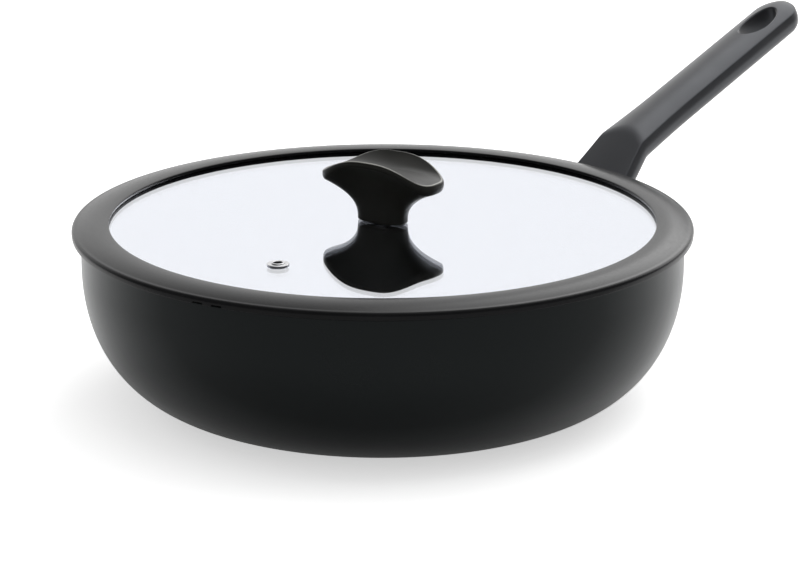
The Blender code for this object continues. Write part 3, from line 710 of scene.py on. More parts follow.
def soft_touch_finish(tone):
    """Soft-touch paint over nylon: velvety charcoal, an even fine grain and a broad dull sheen."""
    fixed = {"IOR": 1.5, "Specular IOR Level": 0.74, "Specular Tint": linear("#f2f6ff")}
    fixed |= {"Sheen Weight": 1.0, "Sheen Roughness": 0.3}
    made = cloudy_finish("soft_touch_nylon", tone, 16 * MM, (0.93, 1.08), (0.38, 0.44), fixed)
    return grain(made, 0.4 * MM, 0.012 * MM, 3.0)


def glass_finish(name, tone, angles, mirror):
    """Tempered soda-lime glass: clear from above, and a bright mirror at a low angle.

    The mirror's share rises between two Facing values, which a face seen from inside the glass
    reaches sooner. Lamps shine straight through, so that the pan's inside stays lit.
    """
    fixed = {"Base Color": tone, "Transmission Weight": 1.0, "IOR": 1.5, "Roughness": 0.0}
    made = start_finish(name, fixed)
    tree = made.tree
    share = by_angle(made, angles, (0.0, mirror), interpolation_type="SMOOTHSTEP")
    clear = tree.nodes["Principled BSDF"].outputs[0]
    gloss = add_node(tree, "ShaderNodeBsdfAnisotropic", {"Color": tone, "Roughness": 0.0})[0]
    seen = add_node(tree, "ShaderNodeMixShader", [share, clear, gloss])[0]
    lit = add_node(tree, "ShaderNodeBsdfTransparent", {"Color": tone})[0]
    shadow = add_node(tree, "ShaderNodeLightPath")["Is Shadow Ray"]
    both = add_node(tree, "ShaderNodeMixShader", [shadow, seen, lit])[0]
    tree.links.new(both, tree.nodes["Material Output"].inputs["Surface"])
    return made.material


# Pan

# Points on the curve of the side, and on that of the shape that cuts what fits against it
WALL_POINTS = 56
CUTTER_POINTS = 40

# Slopes that tell the pan's faces apart: under the base, on the wall and on the inside floor
BASE_SLOPE = 0.5
WALL_SLOPE = 0.5
FLOOR_SLOPE = 0.3


def wok_wall(sizes, points, inset):
    """Curve of the pan's side from base to straight wall, moved inwards by inset(t)."""
    start = Vector((sizes.base_radius, sizes.underside))
    first = Vector((sizes.base_radius + sizes.base_flare, sizes.underside))
    end = Vector((sizes.radius, sizes.height - sizes.straight))
    second = end - Vector((0.0, sizes.belly))
    curve = []
    for step in range(points):
        t = step / (points - 1)
        place, heading = bezier(start, first, second, end, t)
        curve.append(tuple(place + Vector((-heading.y, heading.x)) * inset(t)))
    return curve


def wall_solid(sizes, grow):
    """Mesh of the pan's outer shape, grown by a gap, to cut what fits against the wall."""
    side = wok_wall(sizes, CUTTER_POINTS, lambda t: -grow)
    top = sizes.height * 2
    outline = [(0.0, top), (sizes.radius + grow, top)] + side[::-1] + [(0.0, side[0][1])]
    return turned(outline, None, LARGE_STEPS)


class WOK_OT_pan(bpy.types.Operator):
    """Forge the pan: coated outside and inside, and turned bright under the base"""

    bl_idname = "wok.pan"
    bl_label = "Pan"

    def execute(self, context):
        sizes = context.scene.wok_sizes
        finishes = context.scene.wok_finishes
        radius, height, low = sizes.radius, sizes.height, sizes.underside
        inner_radius = radius - sizes.wall
        taper = sizes.wall - sizes.floor
        inner = wok_wall(sizes, WALL_POINTS, lambda t: sizes.floor + taper * t)
        outer = wok_wall(sizes, WALL_POINTS, lambda t: 0.0)
        top = [(inner_radius, height, sizes.rim_round), (radius, height, sizes.rim_round)]
        rim = rounded(top + [(radius, low, 0.0), (inner_radius, low, 0.0)])[:-2]
        recess = sizes.plate_radius + GAP
        recess_top = sizes.plate_thickness + GAP
        groove = GAP / 2
        middle = (recess + sizes.base_radius) / 2
        base = [
            (middle + 3 * groove, low),
            (middle + groove, low + groove),
            (middle - groove, low + groove),
            (middle - 3 * groove, low),
            (recess + groove, low),
            (recess, low + groove),
            (recess, recess_top),
            (0.0, recess_top),
        ]
        outline = [(0.0, low + sizes.floor)] + inner + rim + outer[::-1] + base
        mesh = turned(outline, lacquer_finish(finishes.lacquer), LARGE_STEPS)
        mesh.materials.append(nonstick_finish(finishes.nonstick))
        mesh.materials.append(turned_metal_finish("turned_aluminium", "#c9cacc", 0.3, 0.5 * MM))
        outwards(mesh)
        for face in mesh.polygons:
            centre, normal = face.center, face.normal
            under = centre.z < recess_top + GAP and centre.xy.length < sizes.base_radius
            inwards = centre.xy.dot(normal.xy) <= 0.0
            upright = abs(normal.z) < WALL_SLOPE
            if under and normal.z < BASE_SLOPE:
                face.material_index = 2
            elif inwards and (upright or centre.z > height - sizes.rim_round):
                face.material_index = 1
            elif normal.z > FLOOR_SLOPE and centre.z < height - 2 * sizes.rim_round:
                face.material_index = 1
        settle("forged_pan", mesh, "wok", ["wok_body"])
        return {"FINISHED"}


class WOK_OT_plate(bpy.types.Operator):
    """Press the perforated steel plate into the base, with dots of aluminium standing in its holes"""

    bl_idname = "wok.plate"
    bl_label = "Induction plate"

    def execute(self, context):
        sizes = context.scene.wok_sizes
        steel = turned_metal_finish("ferritic_steel", "#b9b9ba", 0.26, 0.7 * MM)
        aluminium = worked_metal_finish("pressed_aluminium", "#d3d4d6", 0.34)
        radius, top, field = sizes.plate_radius, sizes.plate_thickness, sizes.plate_field
        ring = radius - sizes.plate_bead
        boss = sizes.plate_boss
        ease = field / 3
        outline = rounded(
            [
                (0.0, top, 0.0),
                (radius, top, GAP),
                (radius, 0.0, GAP),
                (ring, 0.0, ease),
                (ring - field, field, ease),
                (boss + field, field, ease),
                (boss, 0.0, ease),
                (0.0, 0.0, 0.0),
            ]
        )
        mesh = turned(outline, steel, LARGE_STEPS)
        settle("perforated_plate", mesh, "wok", ["induction_plate"])
        values = {
            "Count": 3 * sizes.dot_rings * (sizes.dot_rings + 1),
            "Pitch": sizes.dot_pitch,
            "Radius": sizes.dot_radius,
            "Rise": sizes.dot_rise,
            "Height": field,
        }
        dots = run_tree(bpy.data.meshes.new("none"), dots_tree(), aluminium, values)
        settle("plate_dots", dots, "wok", [])
        return {"FINISHED"}


# Handle

# How the neck widens towards the wall, where 1 is straight
NECK_FLARE = 1.15

# Points over the top, round its edges and down each side, and under the handle
TOP_STEPS = 30
EDGE_STEPS = 6
UNDER_STEPS = 16
EDGE_ROUND = 0.8 * MM
EDGE_BULGE = 0.15
EDGE_DROP = 1.2
UNDER_FULLNESS = 0.75

# Loops along the handle, closer together at the fold, and round its end
LOOP_STEPS = 90
LOOP_CROWDING = 1.7
END_STEPS = 22
END_TIP = 0.4
END_FULLNESS = 0.85

# Points round the hanging eye and over its rolled edge, and how far its cutter flares past that edge
EYE_STEPS = 96
EYE_ROLL_STEPS = 6
EYE_FLARE = 1.6


def handle_axes(context):
    """Place of the fold, and the matrices of the neck's and the grip's axes from it."""
    wok, sizes = context.scene.wok_sizes, context.scene.wok_handle
    fold = Vector((wok.radius + sizes.fold_reach, 0.0, wok.height + sizes.fold_rise))
    neck = Matrix.Translation(fold) @ Matrix.Rotation(-sizes.neck_angle, 4, "Y")
    grip = Matrix.Translation(fold) @ Matrix.Rotation(-sizes.grip_angle, 4, "Y")
    return fold, neck, grip


def crown_at(across, half):
    """Share of the top's crown at this distance from its middle line."""
    return 1.0 - min(1.0, abs(across) / max(half, TINY)) ** 2


def top_height(sizes, along, across, half, shrink):
    """Height of the top over the fold: the lower of the neck's and the grip's faces, blended."""
    crown = crown_at(across, half)
    neck = tan(sizes.neck_angle) * along + sizes.neck_crown * crown / cos(sizes.neck_angle)
    grip = tan(sizes.grip_angle) * along + sizes.crown * shrink * crown / cos(sizes.grip_angle)
    soft = sizes.fold_softness
    over = max(0.0, 1.0 - abs(neck - grip) / (4 * soft))
    return min(neck, grip) - soft * over * over


def handle_loop(sizes, along, width, shrink):
    """One loop of the handle: crowned top, crisp edges, slightly full sides, round underside."""
    half = width / 2
    slope = sizes.neck_angle if along < 0.0 else sizes.grip_angle
    place = Vector((cos(slope), 0.0, sin(slope))) * along
    turn = max(0.0, min(1.0, 0.5 + along / (2 * sizes.fold_length)))
    lean = sizes.neck_angle + (sizes.grip_angle - sizes.neck_angle) * turn * turn * (3 - 2 * turn)
    up = Vector((-sin(lean), 0.0, cos(lean)))
    depth = sizes.depth * (1.0 + shrink) / 2
    side = sizes.side * (1.0 + shrink) / 2
    edge = min(EDGE_ROUND, half / 3)
    flat = half - edge
    bulge = half + sizes.bulge * shrink
    ease = half + sizes.bulge * EDGE_BULGE
    drop = edge * EDGE_DROP

    def rise_to_top(across):
        rise = 0.0
        for _ in range(4):
            point = place + up * rise
            rise += (top_height(sizes, point.x, across, half, shrink) - point.z) * cos(lean)
        return rise

    base = rise_to_top(half)
    loop = []
    for step in range(TOP_STEPS + 1):
        across = flat * (1.0 - 2 * step / TOP_STEPS)
        loop.append((across, rise_to_top(across)))
    last = loop[-1][1] - base
    shares = [step / EDGE_STEPS for step in range(1, EDGE_STEPS)]
    right = [
        (flat * (1 - t) ** 2 + half * 2 * (1 - t) * t + ease * t * t, last * (1 - t) ** 2 - drop * t * t)
        for t in shares
    ]
    right += [(ease + (bulge - ease) * sin(t * pi / 2), -drop - (side - drop) * t) for t in shares]
    for step in range(UNDER_STEPS + 1):
        turn = pi / 2 * step / UNDER_STEPS
        under = (depth - side) * abs(sin(turn)) ** UNDER_FULLNESS
        right.append((bulge * cos(turn), -side - under))
    loop += [(-across, base + rise) for across, rise in right[:-1]]
    loop += [(across, base + rise) for across, rise in reversed(right)]
    return [place + Vector((0.0, across, 0.0)) + up * rise for across, rise in loop]


def handle_loops(sizes):
    """Loops of the handle from inside the wall to its round end, closer together at the fold."""
    low = -sizes.neck_reach
    high = sizes.grip_length - sizes.end_round
    loops = []
    for step in range(LOOP_STEPS + 1):
        t = step / LOOP_STEPS * 2 - 1
        along = abs(t) ** LOOP_CROWDING * (low if t < 0 else high)
        if along < 0.0:
            share, wide = (along / low) ** NECK_FLARE, sizes.neck_width
        else:
            share, wide = sin(min(1.0, along / sizes.taper) * pi / 2), sizes.grip_width
        width = sizes.fold_width + (wide - sizes.fold_width) * share
        loops.append(handle_loop(sizes, along, width, 1.0))
    for step in range(1, END_STEPS + 1):
        turn = pi / 2 * step / (END_STEPS + END_TIP)
        shrink = cos(turn) ** END_FULLNESS
        along = high + sizes.end_round * sin(turn)
        loops.append(handle_loop(sizes, along, sizes.grip_width * shrink, shrink))
    return loops


def eye_solid(sizes, grip):
    """Mesh that cuts the hanging eye: a long oval hole whose edges roll into both faces."""
    half = sizes.grip_width / 2
    roll = sizes.eye_round
    flare = EYE_FLARE * roll
    slides = [roll * sin(pi / 2 * step / EYE_ROLL_STEPS) for step in range(EYE_ROLL_STEPS + 1)]
    levels = [(True, flare, flare)] + [(True, -slide, roll - slide) for slide in slides]
    levels += [(False, slide, roll - slide) for slide in slides[::-1]] + [(False, -3 * roll, flare)]
    loops = []
    for on_top, offset, grow in levels:
        loop = []
        for step in range(EYE_STEPS):
            turn = tau * step / EYE_STEPS
            x = (sizes.eye_half_length + grow) * cos(turn)
            y = (sizes.eye_half_width + grow) * sin(turn)
            top = sizes.crown * crown_at(y, half)
            under = (sizes.depth - sizes.side) * crown_at(y, half + sizes.bulge) ** (UNDER_FULLNESS / 2)
            loop.append((x, y, (top if on_top else -sizes.side - under) + offset))
        loops.append(loop)
    return placed(lofted(loops, None), grip @ Matrix.Translation((sizes.eye_centre, 0.0, 0.0)))


# Bracket in the neck and its screw, from the fold and the edges of the neck's top face
TONGUE = {"width": 18.0 * MM, "thickness": 5.0 * MM, "end": 15.0 * MM}
PAD = {"width": 24.0 * MM, "thickness": 7.4 * MM, "end": 43.0 * MM}
TONGUE_DEPTH = 4.0 * MM
BRACKET_EDGE = 0.8 * MM
FIX_PLACE = Matrix.Translation((-27.0 * MM, 0.0, 0.0))
FIX_RADIUS = 2.5 * MM
FIX_PITCH = 0.8 * MM
FIX_TIP = TONGUE["thickness"] / 2 - TONGUE_DEPTH - 0.4 * MM
FIX_HEAD_RADIUS = 4.2 * MM
FIX_HEAD_HEIGHT = 1.9 * MM
FIX_WASHER_RADIUS = 4.6 * MM
FIX_WASHER = 0.7 * MM
FIX_SEAT_WALL = 2.1 * MM
POCKET_FLOOR = -TONGUE_DEPTH - TONGUE["thickness"] / 2 - GAP
FIX_SEAT = POCKET_FLOOR - FIX_SEAT_WALL
FIX_WASHER_TOP = FIX_SEAT - GAP
FIX_SCREW_SEAT = FIX_WASHER_TOP - FIX_WASHER - GAP


def tongue_block(sizes, part, grow, material=None, bevel=0.0):
    """Mesh of the bracket's tongue or foot pad, grown all round when it cuts the neck's pocket."""
    wide = part["width"] / 2 + grow
    thick = part["thickness"] / 2 + grow
    low = (-sizes.neck_reach, -wide, -TONGUE_DEPTH - thick)
    high = (grow - part["end"], wide, -TONGUE_DEPTH + thick)
    return block(low, high, material, bevel)


class WOK_OT_handle(bpy.types.Operator):
    """Mould the handle over its bracket, with the hanging eye and the well for its screw"""

    bl_idname = "wok.handle"
    bl_label = "Handle"

    def execute(self, context):
        sizes = context.scene.wok_handle
        fold, neck, grip = handle_axes(context)
        finish = soft_touch_finish(context.scene.wok_finishes.soft_touch)
        mesh = placed(lofted(handle_loops(sizes), finish), Matrix.Translation(fold))
        well = rounded(
            [
                (0.0, POCKET_FLOOR + GAP, 0.0),
                (FIX_RADIUS + PLAY, POCKET_FLOOR + GAP, 0.0),
                (FIX_RADIUS + PLAY, FIX_SEAT, 0.0),
                (FIX_WASHER_RADIUS + GAP, FIX_SEAT, GAP),
                (FIX_WASHER_RADIUS + GAP, -2 * sizes.depth, 0.0),
                (0.0, -2 * sizes.depth, 0.0),
            ]
        )
        cutters = [wall_solid(context.scene.wok_sizes, GAP)]
        cutters += [placed(tongue_block(sizes, part, GAP), neck) for part in (TONGUE, PAD)]
        cutters += [placed(turned(well, None), neck @ FIX_PLACE), eye_solid(sizes, grip)]
        settle(
            "soft_touch_handle", cut(mesh, cutters), "wok", ["handle_grip"]
        )
        return {"FINISHED"}


def washer_mesh(bore, radius, top, thickness, material):
    """Mesh of a flat ring with eased edges."""
    low = top - thickness
    corners = [(bore, top), (radius, top), (radius, low), (bore, low)]
    return turned(rounded([(r, z, thickness / 4) for r, z in corners]), material)


def bore_mesh(radius, top, low):
    """Mesh that cuts a round hole along Z."""
    return turned([(0.0, top), (radius, top), (radius, low), (0.0, low)], None)


# Rows of points in a turn of thread, its depth as a share of its pitch, and the head's proportions
THREAD_ROWS = 8
THREAD_DEPTH = 0.45
HEAD_DOME = 0.62
HEAD_EDGE = 0.15 * MM
CROSS_SPAN = 0.55
CROSS_WIDTH = 0.13
CROSS_DEPTH = 0.5


def screw_mesh(radius, tip, seat, head_radius, head_height, pitch, material):
    """Mesh of a pan-head screw along Z with its head down: threaded shank, cross recess below."""
    bottom = seat - head_height
    thread_low = seat + pitch
    thread_high = tip - pitch / 2
    run = thread_high - thread_low
    rows = max(2, round(run / pitch * THREAD_ROWS))
    shank = [(radius, thread_high - run * row / rows) for row in range(rows + 1)]
    head = [(0.0, seat, 0.0), (head_radius, seat, HEAD_EDGE)]
    head += [(head_radius, bottom, head_height * HEAD_DOME), (0.0, bottom, 0.0)]
    start = [(0.0, tip), (radius - pitch / 2, tip)]
    mesh = turned(start + shank + [(radius, seat)] + rounded(head)[1:], material)
    values = {
        "Pitch": pitch,
        "Depth": pitch * THREAD_DEPTH,
        "Radius": radius,
        "Low": thread_low - TINY,
        "High": thread_high + TINY,
    }
    mesh = run_tree(mesh, shared_tree("cut_thread", thread_tree), material, values)
    span, slot = head_radius * CROSS_SPAN, head_radius * CROSS_WIDTH
    top = bottom + head_height * CROSS_DEPTH
    arms = []
    for x, y in ((span, slot), (slot, span)):
        arms.append(block((-x, -y, bottom - head_height), (x, y, top)))
    return cut(mesh, arms)


class WOK_OT_bracket(bpy.types.Operator):
    """Cast the bracket that is welded to the wall, and fit the handle's washer and screw"""

    bl_idname = "wok.bracket"
    bl_label = "Bracket and screw"

    def execute(self, context):
        sizes = context.scene.wok_handle
        _, neck, _ = handle_axes(context)
        aluminium = worked_metal_finish("cast_aluminium", "#d0d1d3", 0.42)
        zinc = worked_metal_finish("bright_zinc_plate", "#cfd0ca", 0.28)
        tongue, pad = (tongue_block(sizes, part, 0.0, aluminium, BRACKET_EDGE) for part in (TONGUE, PAD))
        mesh = placed(cut(tongue, [pad], "UNION"), neck)
        axis = neck @ FIX_PLACE
        bore = FIX_RADIUS + PLAY
        hole = placed(bore_mesh(bore, 0.0, -2 * sizes.depth), axis)
        mesh = cut(mesh, [wall_solid(context.scene.wok_sizes, GAP), hole])
        settle("welded_bracket", mesh, "wok", ["handle_bracket"])
        washer = washer_mesh(bore, FIX_WASHER_RADIUS, FIX_WASHER_TOP, FIX_WASHER, zinc)
        settle("neck_washer", washer, "wok", ["handle_washer"], axis)
        head = (FIX_HEAD_RADIUS, FIX_HEAD_HEIGHT)
        screw = screw_mesh(FIX_RADIUS, FIX_TIP, FIX_SCREW_SEAT, *head, FIX_PITCH, zinc)
        settle("neck_screw", screw, "wok", ["handle_screw"], axis)
        return {"FINISHED"}


# Lid

# Points across the rim's sloping top, and the small fillets of the rim's hidden corners
CROWN_STEPS = 24
LIP_FOOT_ROUND = 0.1 * MM
SEAT_ROUND = 0.2 * MM

# Steam vent: its hole in the glass, then its eyelet, seal and ring
VENT_HOLE = 4.2 * MM
VENT_TUBE_WALL = 0.7 * MM
VENT_FLANGE = 0.4 * MM
VENT_COLLAR = 0.55 * MM
VENT_CURL = 0.9 * MM
VENT_STEP_ROUND = 0.15 * MM
VENT_LIP_ROUND = 0.2 * MM
VENT_SEAL_FLANGE = 0.2 * MM
VENT_SNUG = 0.05 * MM
VENT_SEAL_RADIUS = 4.9 * MM
VENT_RING_RADIUS = 6.0 * MM
VENT_RING = 0.7 * MM

# Facing values between which each side of the glass turns to a mirror, and that mirror's share
TOP_MIRROR = ((0.42, 0.74), 0.55)
UNDER_MIRROR = ((0.12, 0.225), 0.9)


def lid_place(context):
    """Matrix of the middle of the glass's top face."""
    return Matrix.Translation((0.0, 0.0, context.scene.wok_lid.glass_top))


def vent_place(context):
    """Matrix of the steam vent on the glass's top face."""
    sizes = context.scene.wok_lid
    reach = sizes.glass_radius - sizes.lip - sizes.vent_from_lip
    across = Vector((cos(sizes.vent_azimuth), sin(sizes.vent_azimuth), 0.0)) * reach
    return lid_place(context) @ Matrix.Translation(across)


class WOK_OT_glass(bpy.types.Operator):
    """Cut and temper the glass disc, with its hole for the knob and its hole for the vent"""

    bl_idname = "wok.glass"
    bl_label = "Glass"

    def execute(self, context):
        sizes = context.scene.wok_lid
        tone = context.scene.wok_finishes.glass
        low, edge = -sizes.glass_thickness, sizes.edge_round
        corners = [
            (sizes.glass_hole, 0.0, edge / 2),
            (sizes.glass_radius, 0.0, edge),
            (sizes.glass_radius, low, edge),
            (sizes.glass_hole, low, edge / 2),
        ]
        finish = glass_finish("tempered_glass_top", tone, *TOP_MIRROR)
        disc = turned(rounded(corners), finish, LARGE_STEPS)
        disc.materials.append(glass_finish("tempered_glass_under", tone, *UNDER_MIRROR))
        aside = lid_place(context).inverted() @ vent_place(context)
        disc = cut(disc, [placed(bore_mesh(VENT_HOLE, -2 * low, 2 * low), aside)])
        for face in disc.polygons:
            face.material_index = int(face.normal.z < -WALL_SLOPE)
        settle("glass_disc", disc, "lid", ["lid_glass"], lid_place(context))
        return {"FINISHED"}


class WOK_OT_rim(bpy.types.Operator):
    """Mould the silicone rim: lip, sloping top, side, skirt and two steam notches"""

    bl_idname = "wok.rim"
    bl_label = "Silicone rim"

    def execute(self, context):
        sizes, wok = context.scene.wok_lid, context.scene.wok_sizes
        tone = context.scene.wok_finishes.silicone
        radius, seat, edge = sizes.rim_radius, -sizes.proud, sizes.rim_edge
        side_top = sizes.side + seat
        skirt = wok.radius - wok.wall - sizes.skirt_play
        under = -sizes.glass_thickness - GAP
        inner = sizes.glass_radius - sizes.lip
        groove = sizes.glass_radius + GAP
        crown = []
        for step in range(2, CROWN_STEPS):
            share = step / CROWN_STEPS
            r = inner + (radius - sizes.rim_shoulder - inner) * share
            z = sizes.lip_rise + (side_top - sizes.lip_rise) * share
            crown.append((r, z + sizes.crown * 4 * share * (1 - share), 0.0))
        corners = [
            (inner + GAP, GAP, LIP_FOOT_ROUND),
            (inner, sizes.lip_rise, edge),
            *crown,
            (radius, side_top, sizes.rim_shoulder),
            (radius - GAP, seat, edge / 3),
            (skirt, seat, SEAT_ROUND),
            (skirt, seat - sizes.skirt_drop, edge),
            (inner + 3 * GAP, under - sizes.under_lip, edge),
            (inner + 3 * GAP, under, LIP_FOOT_ROUND),
            (groove, under, 0.0),
            (groove, GAP, 0.0),
        ]
        finish = silicone_finish("moulded_silicone", tone, (0.2, 0.26))
        mesh = turned(rounded(corners), finish, LARGE_STEPS)
        half = sizes.notch_width / 2
        low = (skirt - edge, -half, seat - 2 * sizes.skirt_drop)
        high = (radius + sizes.notch_width, half, seat + sizes.notch_height)
        notches = []
        for side in (-0.5, 0.5):
            turn = Matrix.Rotation(sizes.notch_middle + side * sizes.notch_spread, 4, "Z")
            notches.append(placed(block(low, high, None, sizes.notch_round), turn))
        mesh = cut(mesh, notches)
        settle("silicone_lid_rim", mesh, "lid", ["silicone_rim"], lid_place(context))
        return {"FINISHED"}


class WOK_OT_vent(bpy.types.Operator):
    """Curl the steam eyelet over its seal and ring"""

    bl_idname = "wok.vent"
    bl_label = "Steam vent"

    def execute(self, context):
        sizes = context.scene.wok_lid
        steel = worked_metal_finish("polished_stainless", "#dcdcde", 0.12)
        silicone = silicone_finish("seal_silicone", linear("#2b2b2c"), (0.45, 0.55))
        place = vent_place(context)
        bore, collar, flange = sizes.vent_bore, sizes.vent_collar, sizes.vent_flange
        tube = bore + VENT_TUBE_WALL
        roll = VENT_TUBE_WALL / 2
        seal_top = VENT_SNUG + VENT_SEAL_FLANGE
        flange_low = seal_top + VENT_SNUG
        flange_top = flange_low + VENT_FLANGE
        collar_top = flange_top + VENT_COLLAR
        seal_low = -sizes.glass_thickness
        ring_top = seal_low - GAP
        curl_top = ring_top - VENT_RING - GAP
        curl_low = curl_top - VENT_CURL
        curl = tube + VENT_CURL
        eyelet = [
            (bore, collar_top, roll),
            (collar, collar_top, roll),
            (collar, flange_top, VENT_STEP_ROUND),
            (flange, flange_top, VENT_FLANGE / 2),
            (flange, flange_low, 0.0),
            (tube, flange_low, 0.0),
            (tube, curl_top, 0.0),
            (curl, curl_top, VENT_CURL / 3),
            (curl, curl_low, VENT_CURL / 3),
            (bore, curl_low, VENT_LIP_ROUND),
        ]
        mesh = turned(rounded(eyelet), steel)
        settle("steam_eyelet", mesh, "lid", ["vent_eyelet"], place)
        inner, outer = tube + GAP, VENT_HOLE - GAP
        seal = [(inner, seal_top), (VENT_SEAL_RADIUS, seal_top), (VENT_SEAL_RADIUS, VENT_SNUG)]
        seal += [(outer, VENT_SNUG), (outer, seal_low), (inner, seal_low)]
        settle("eyelet_seal", turned(seal, silicone), "lid", ["vent_seal"], place)
        ring = washer_mesh(inner, VENT_RING_RADIUS, ring_top, VENT_RING, steel)
        settle("eyelet_ring", ring, "lid", ["vent_ring"], place)
        return {"FINISHED"}


# Knob

# How square its outline is, how its rim dips to the ends, and how its sides flare
KNOB_FULLNESS = 0.7
KNOB_SADDLE = 3.5
KNOB_FLARE = 2.6

# Points round the knob, and up its foot, side, brow, band, rim and top
KNOB_STEPS = 180
FOOT_STEPS = 4
FLARE_STEPS = 40
BROW_STEPS = 8
BAND_STEPS = 3
RIM_STEPS = 8
TOP_ROWS = 30
# Rows of faces on the upper rim fillet that carry a painted highlight: a pale line along the rim
PAINTED_HIGHLIGHT_ROWS = (60, 63)

# The brow, where the side turns up into the band: its reach, height and the pulls of its curve
BROW_REACH = 1.4 * MM
BROW_SHARE = 0.06
BROW_LIFT = 0.45
BROW_PULL = 0.15
BROW_RISE = 0.3

# Fastening: the knob's insert, gasket and screw, then the bush and washer under the glass
KNOB_SEAT = 1.2 * MM
RECESS_PLAY = 0.25 * MM
INSERT_RADIUS = 3.4 * MM
INSERT_LENGTH = 12.0 * MM
GASKET = 0.6 * MM
GASKET_INSET = 0.5 * MM
GASKET_SNUG = 0.05 * MM
GASKET_CUT = 2.0 * MM
SCREW_RADIUS = 2.0 * MM
SCREW_REACH = 11.0 * MM
SCREW_PITCH = 0.7 * MM
SCREW_HEAD_RADIUS = 4.2 * MM
SCREW_HEAD_HEIGHT = 2.6 * MM
BUSH_FLANGE_RADIUS = 8.0 * MM
BUSH_FLANGE = 1.0 * MM
WASHER_RADIUS = 7.0 * MM
WASHER = 1.0 * MM


def mixed(first, second, share):
    """Value between two others."""
    return first + (second - first) * share


def knob_profile(sizes, x, y, side):
    """Points of the knob's surface in one direction from its foot to its middle, as (share, height).

    A share up to 1 runs from the foot's outline to the rim's. A share over 1 runs back in over the
    top, where 2 is the middle.
    """
    top = mixed(sizes.end_height, sizes.side_height, side)
    edge = mixed(sizes.end_edge, sizes.side_edge, side)
    rim = Vector((sizes.half_length * x, sizes.half_width * y))
    foot = Vector((sizes.foot_half_length * x, sizes.foot_half_width * y))
    run, reach = (rim - foot).length, rim.length
    fillet, toe = sizes.rim_round, sizes.foot_round
    points = []
    for step in range(FOOT_STEPS + 1):
        roll = pi / 2 * step / FOOT_STEPS
        points.append((-toe * (1 - sin(roll)) / run, sizes.foot_height + toe * (1 - cos(roll))))
    corner = min(BROW_SHARE, BROW_REACH / run)
    low, high = sizes.foot_height + toe, top - edge
    for step in range(1, FLARE_STEPS + 1):
        share = step / FLARE_STEPS
        points.append((share**KNOB_FLARE * (1 - corner), mixed(low, high, share)))
    lift = edge * BROW_LIFT
    for step in range(1, BROW_STEPS + 1):
        t = step / BROW_STEPS
        start, pull, end = (1 - t) ** 2, 2 * (1 - t) * t, t * t
        out = (1 - corner) * start + (1 - corner * BROW_PULL) * pull + end
        points.append((out, high + lift * (BROW_RISE * pull + end)))
    for step in range(1, BAND_STEPS + 1):
        points.append((1.0, high + lift + (edge - lift - fillet) * step / BAND_STEPS))
    for step in range(1, RIM_STEPS + 1):
        roll = pi / 2 * step / RIM_STEPS
        points.append((1.0 + fillet * (1 - cos(roll)) / reach, top - fillet * (1 - sin(roll))))
    for step in range(1, TOP_ROWS):
        share = step / TOP_ROWS
        bowl = (1.0 - share) ** 2
        points.append((1.0 + mixed(fillet / reach, 1.0, share), mixed(sizes.trough, top, bowl)))
    return points


def knob_loops(sizes):
    """Level-by-level loops of the knob from its foot up, over the rim and in to its middle."""
    columns = []
    for step in range(KNOB_STEPS):
        turn = tau * step / KNOB_STEPS
        x, y = full(cos(turn), KNOB_FULLNESS), full(sin(turn), KNOB_FULLNESS)
        column = []
        for share, height in knob_profile(sizes, x, y, abs(sin(turn)) ** KNOB_SADDLE):
            out = min(share, 1.0)
            back = 2.0 - max(share, 1.0)
            long = mixed(sizes.foot_half_length, sizes.half_length, out) * back
            wide = mixed(sizes.foot_half_width, sizes.half_width, out) * back
            column.append((long * x, wide * y, height))
        columns.append(column)
    return [list(loop) for loop in zip(*columns)]


def oval_block(sizes, inset, low, high, material):
    """Mesh of an upright oval block a little inside the knob's foot."""
    turns = [tau * step / SMALL_STEPS for step in range(SMALL_STEPS)]
    along, across = sizes.foot_half_length - inset, sizes.foot_half_width - inset
    loops = [[(along * cos(t), across * sin(t), height) for t in turns] for height in (low, high)]
    return lofted(loops, material)


def knob_place(context):
    """Matrix of the knob on the glass's top face."""
    return lid_place(context) @ Matrix.Rotation(context.scene.wok_knob.azimuth, 4, "Z")


class WOK_OT_knob(bpy.types.Operator):
    """Mould the saddle knob, with the bore for its insert and a painted highlight along its rim"""

    bl_idname = "wok.knob"
    bl_label = "Knob"

    def execute(self, context):
        sizes = context.scene.wok_knob
        tone = context.scene.wok_finishes.phenolic
        blank = lofted(knob_loops(sizes), phenolic_finish("moulded_phenolic", tone, (0.28, 0.34)))
        # Pale, slightly smoother phenolic on the upper rim fillet is a painted highlight: a bright line
        # along the rim.
        blank.materials.append(phenolic_finish("phenolic_painted_highlight", linear("#92928d"), (0.2, 0.26)))
        first, last = (KNOB_STEPS * row for row in PAINTED_HIGHLIGHT_ROWS)
        for face in blank.polygons[first:last]:
            face.material_index = 1
        hole = bore_mesh(INSERT_RADIUS + GAP, KNOB_SEAT + INSERT_LENGTH + GAP, -KNOB_SEAT)
        recess = oval_block(sizes, GASKET_INSET - RECESS_PLAY, -KNOB_SEAT, KNOB_SEAT, None)
        mesh = cut(blank, [hole, recess])
        settle("saddle_knob", mesh, "lid", ["lid_knob"], knob_place(context))
        return {"FINISHED"}


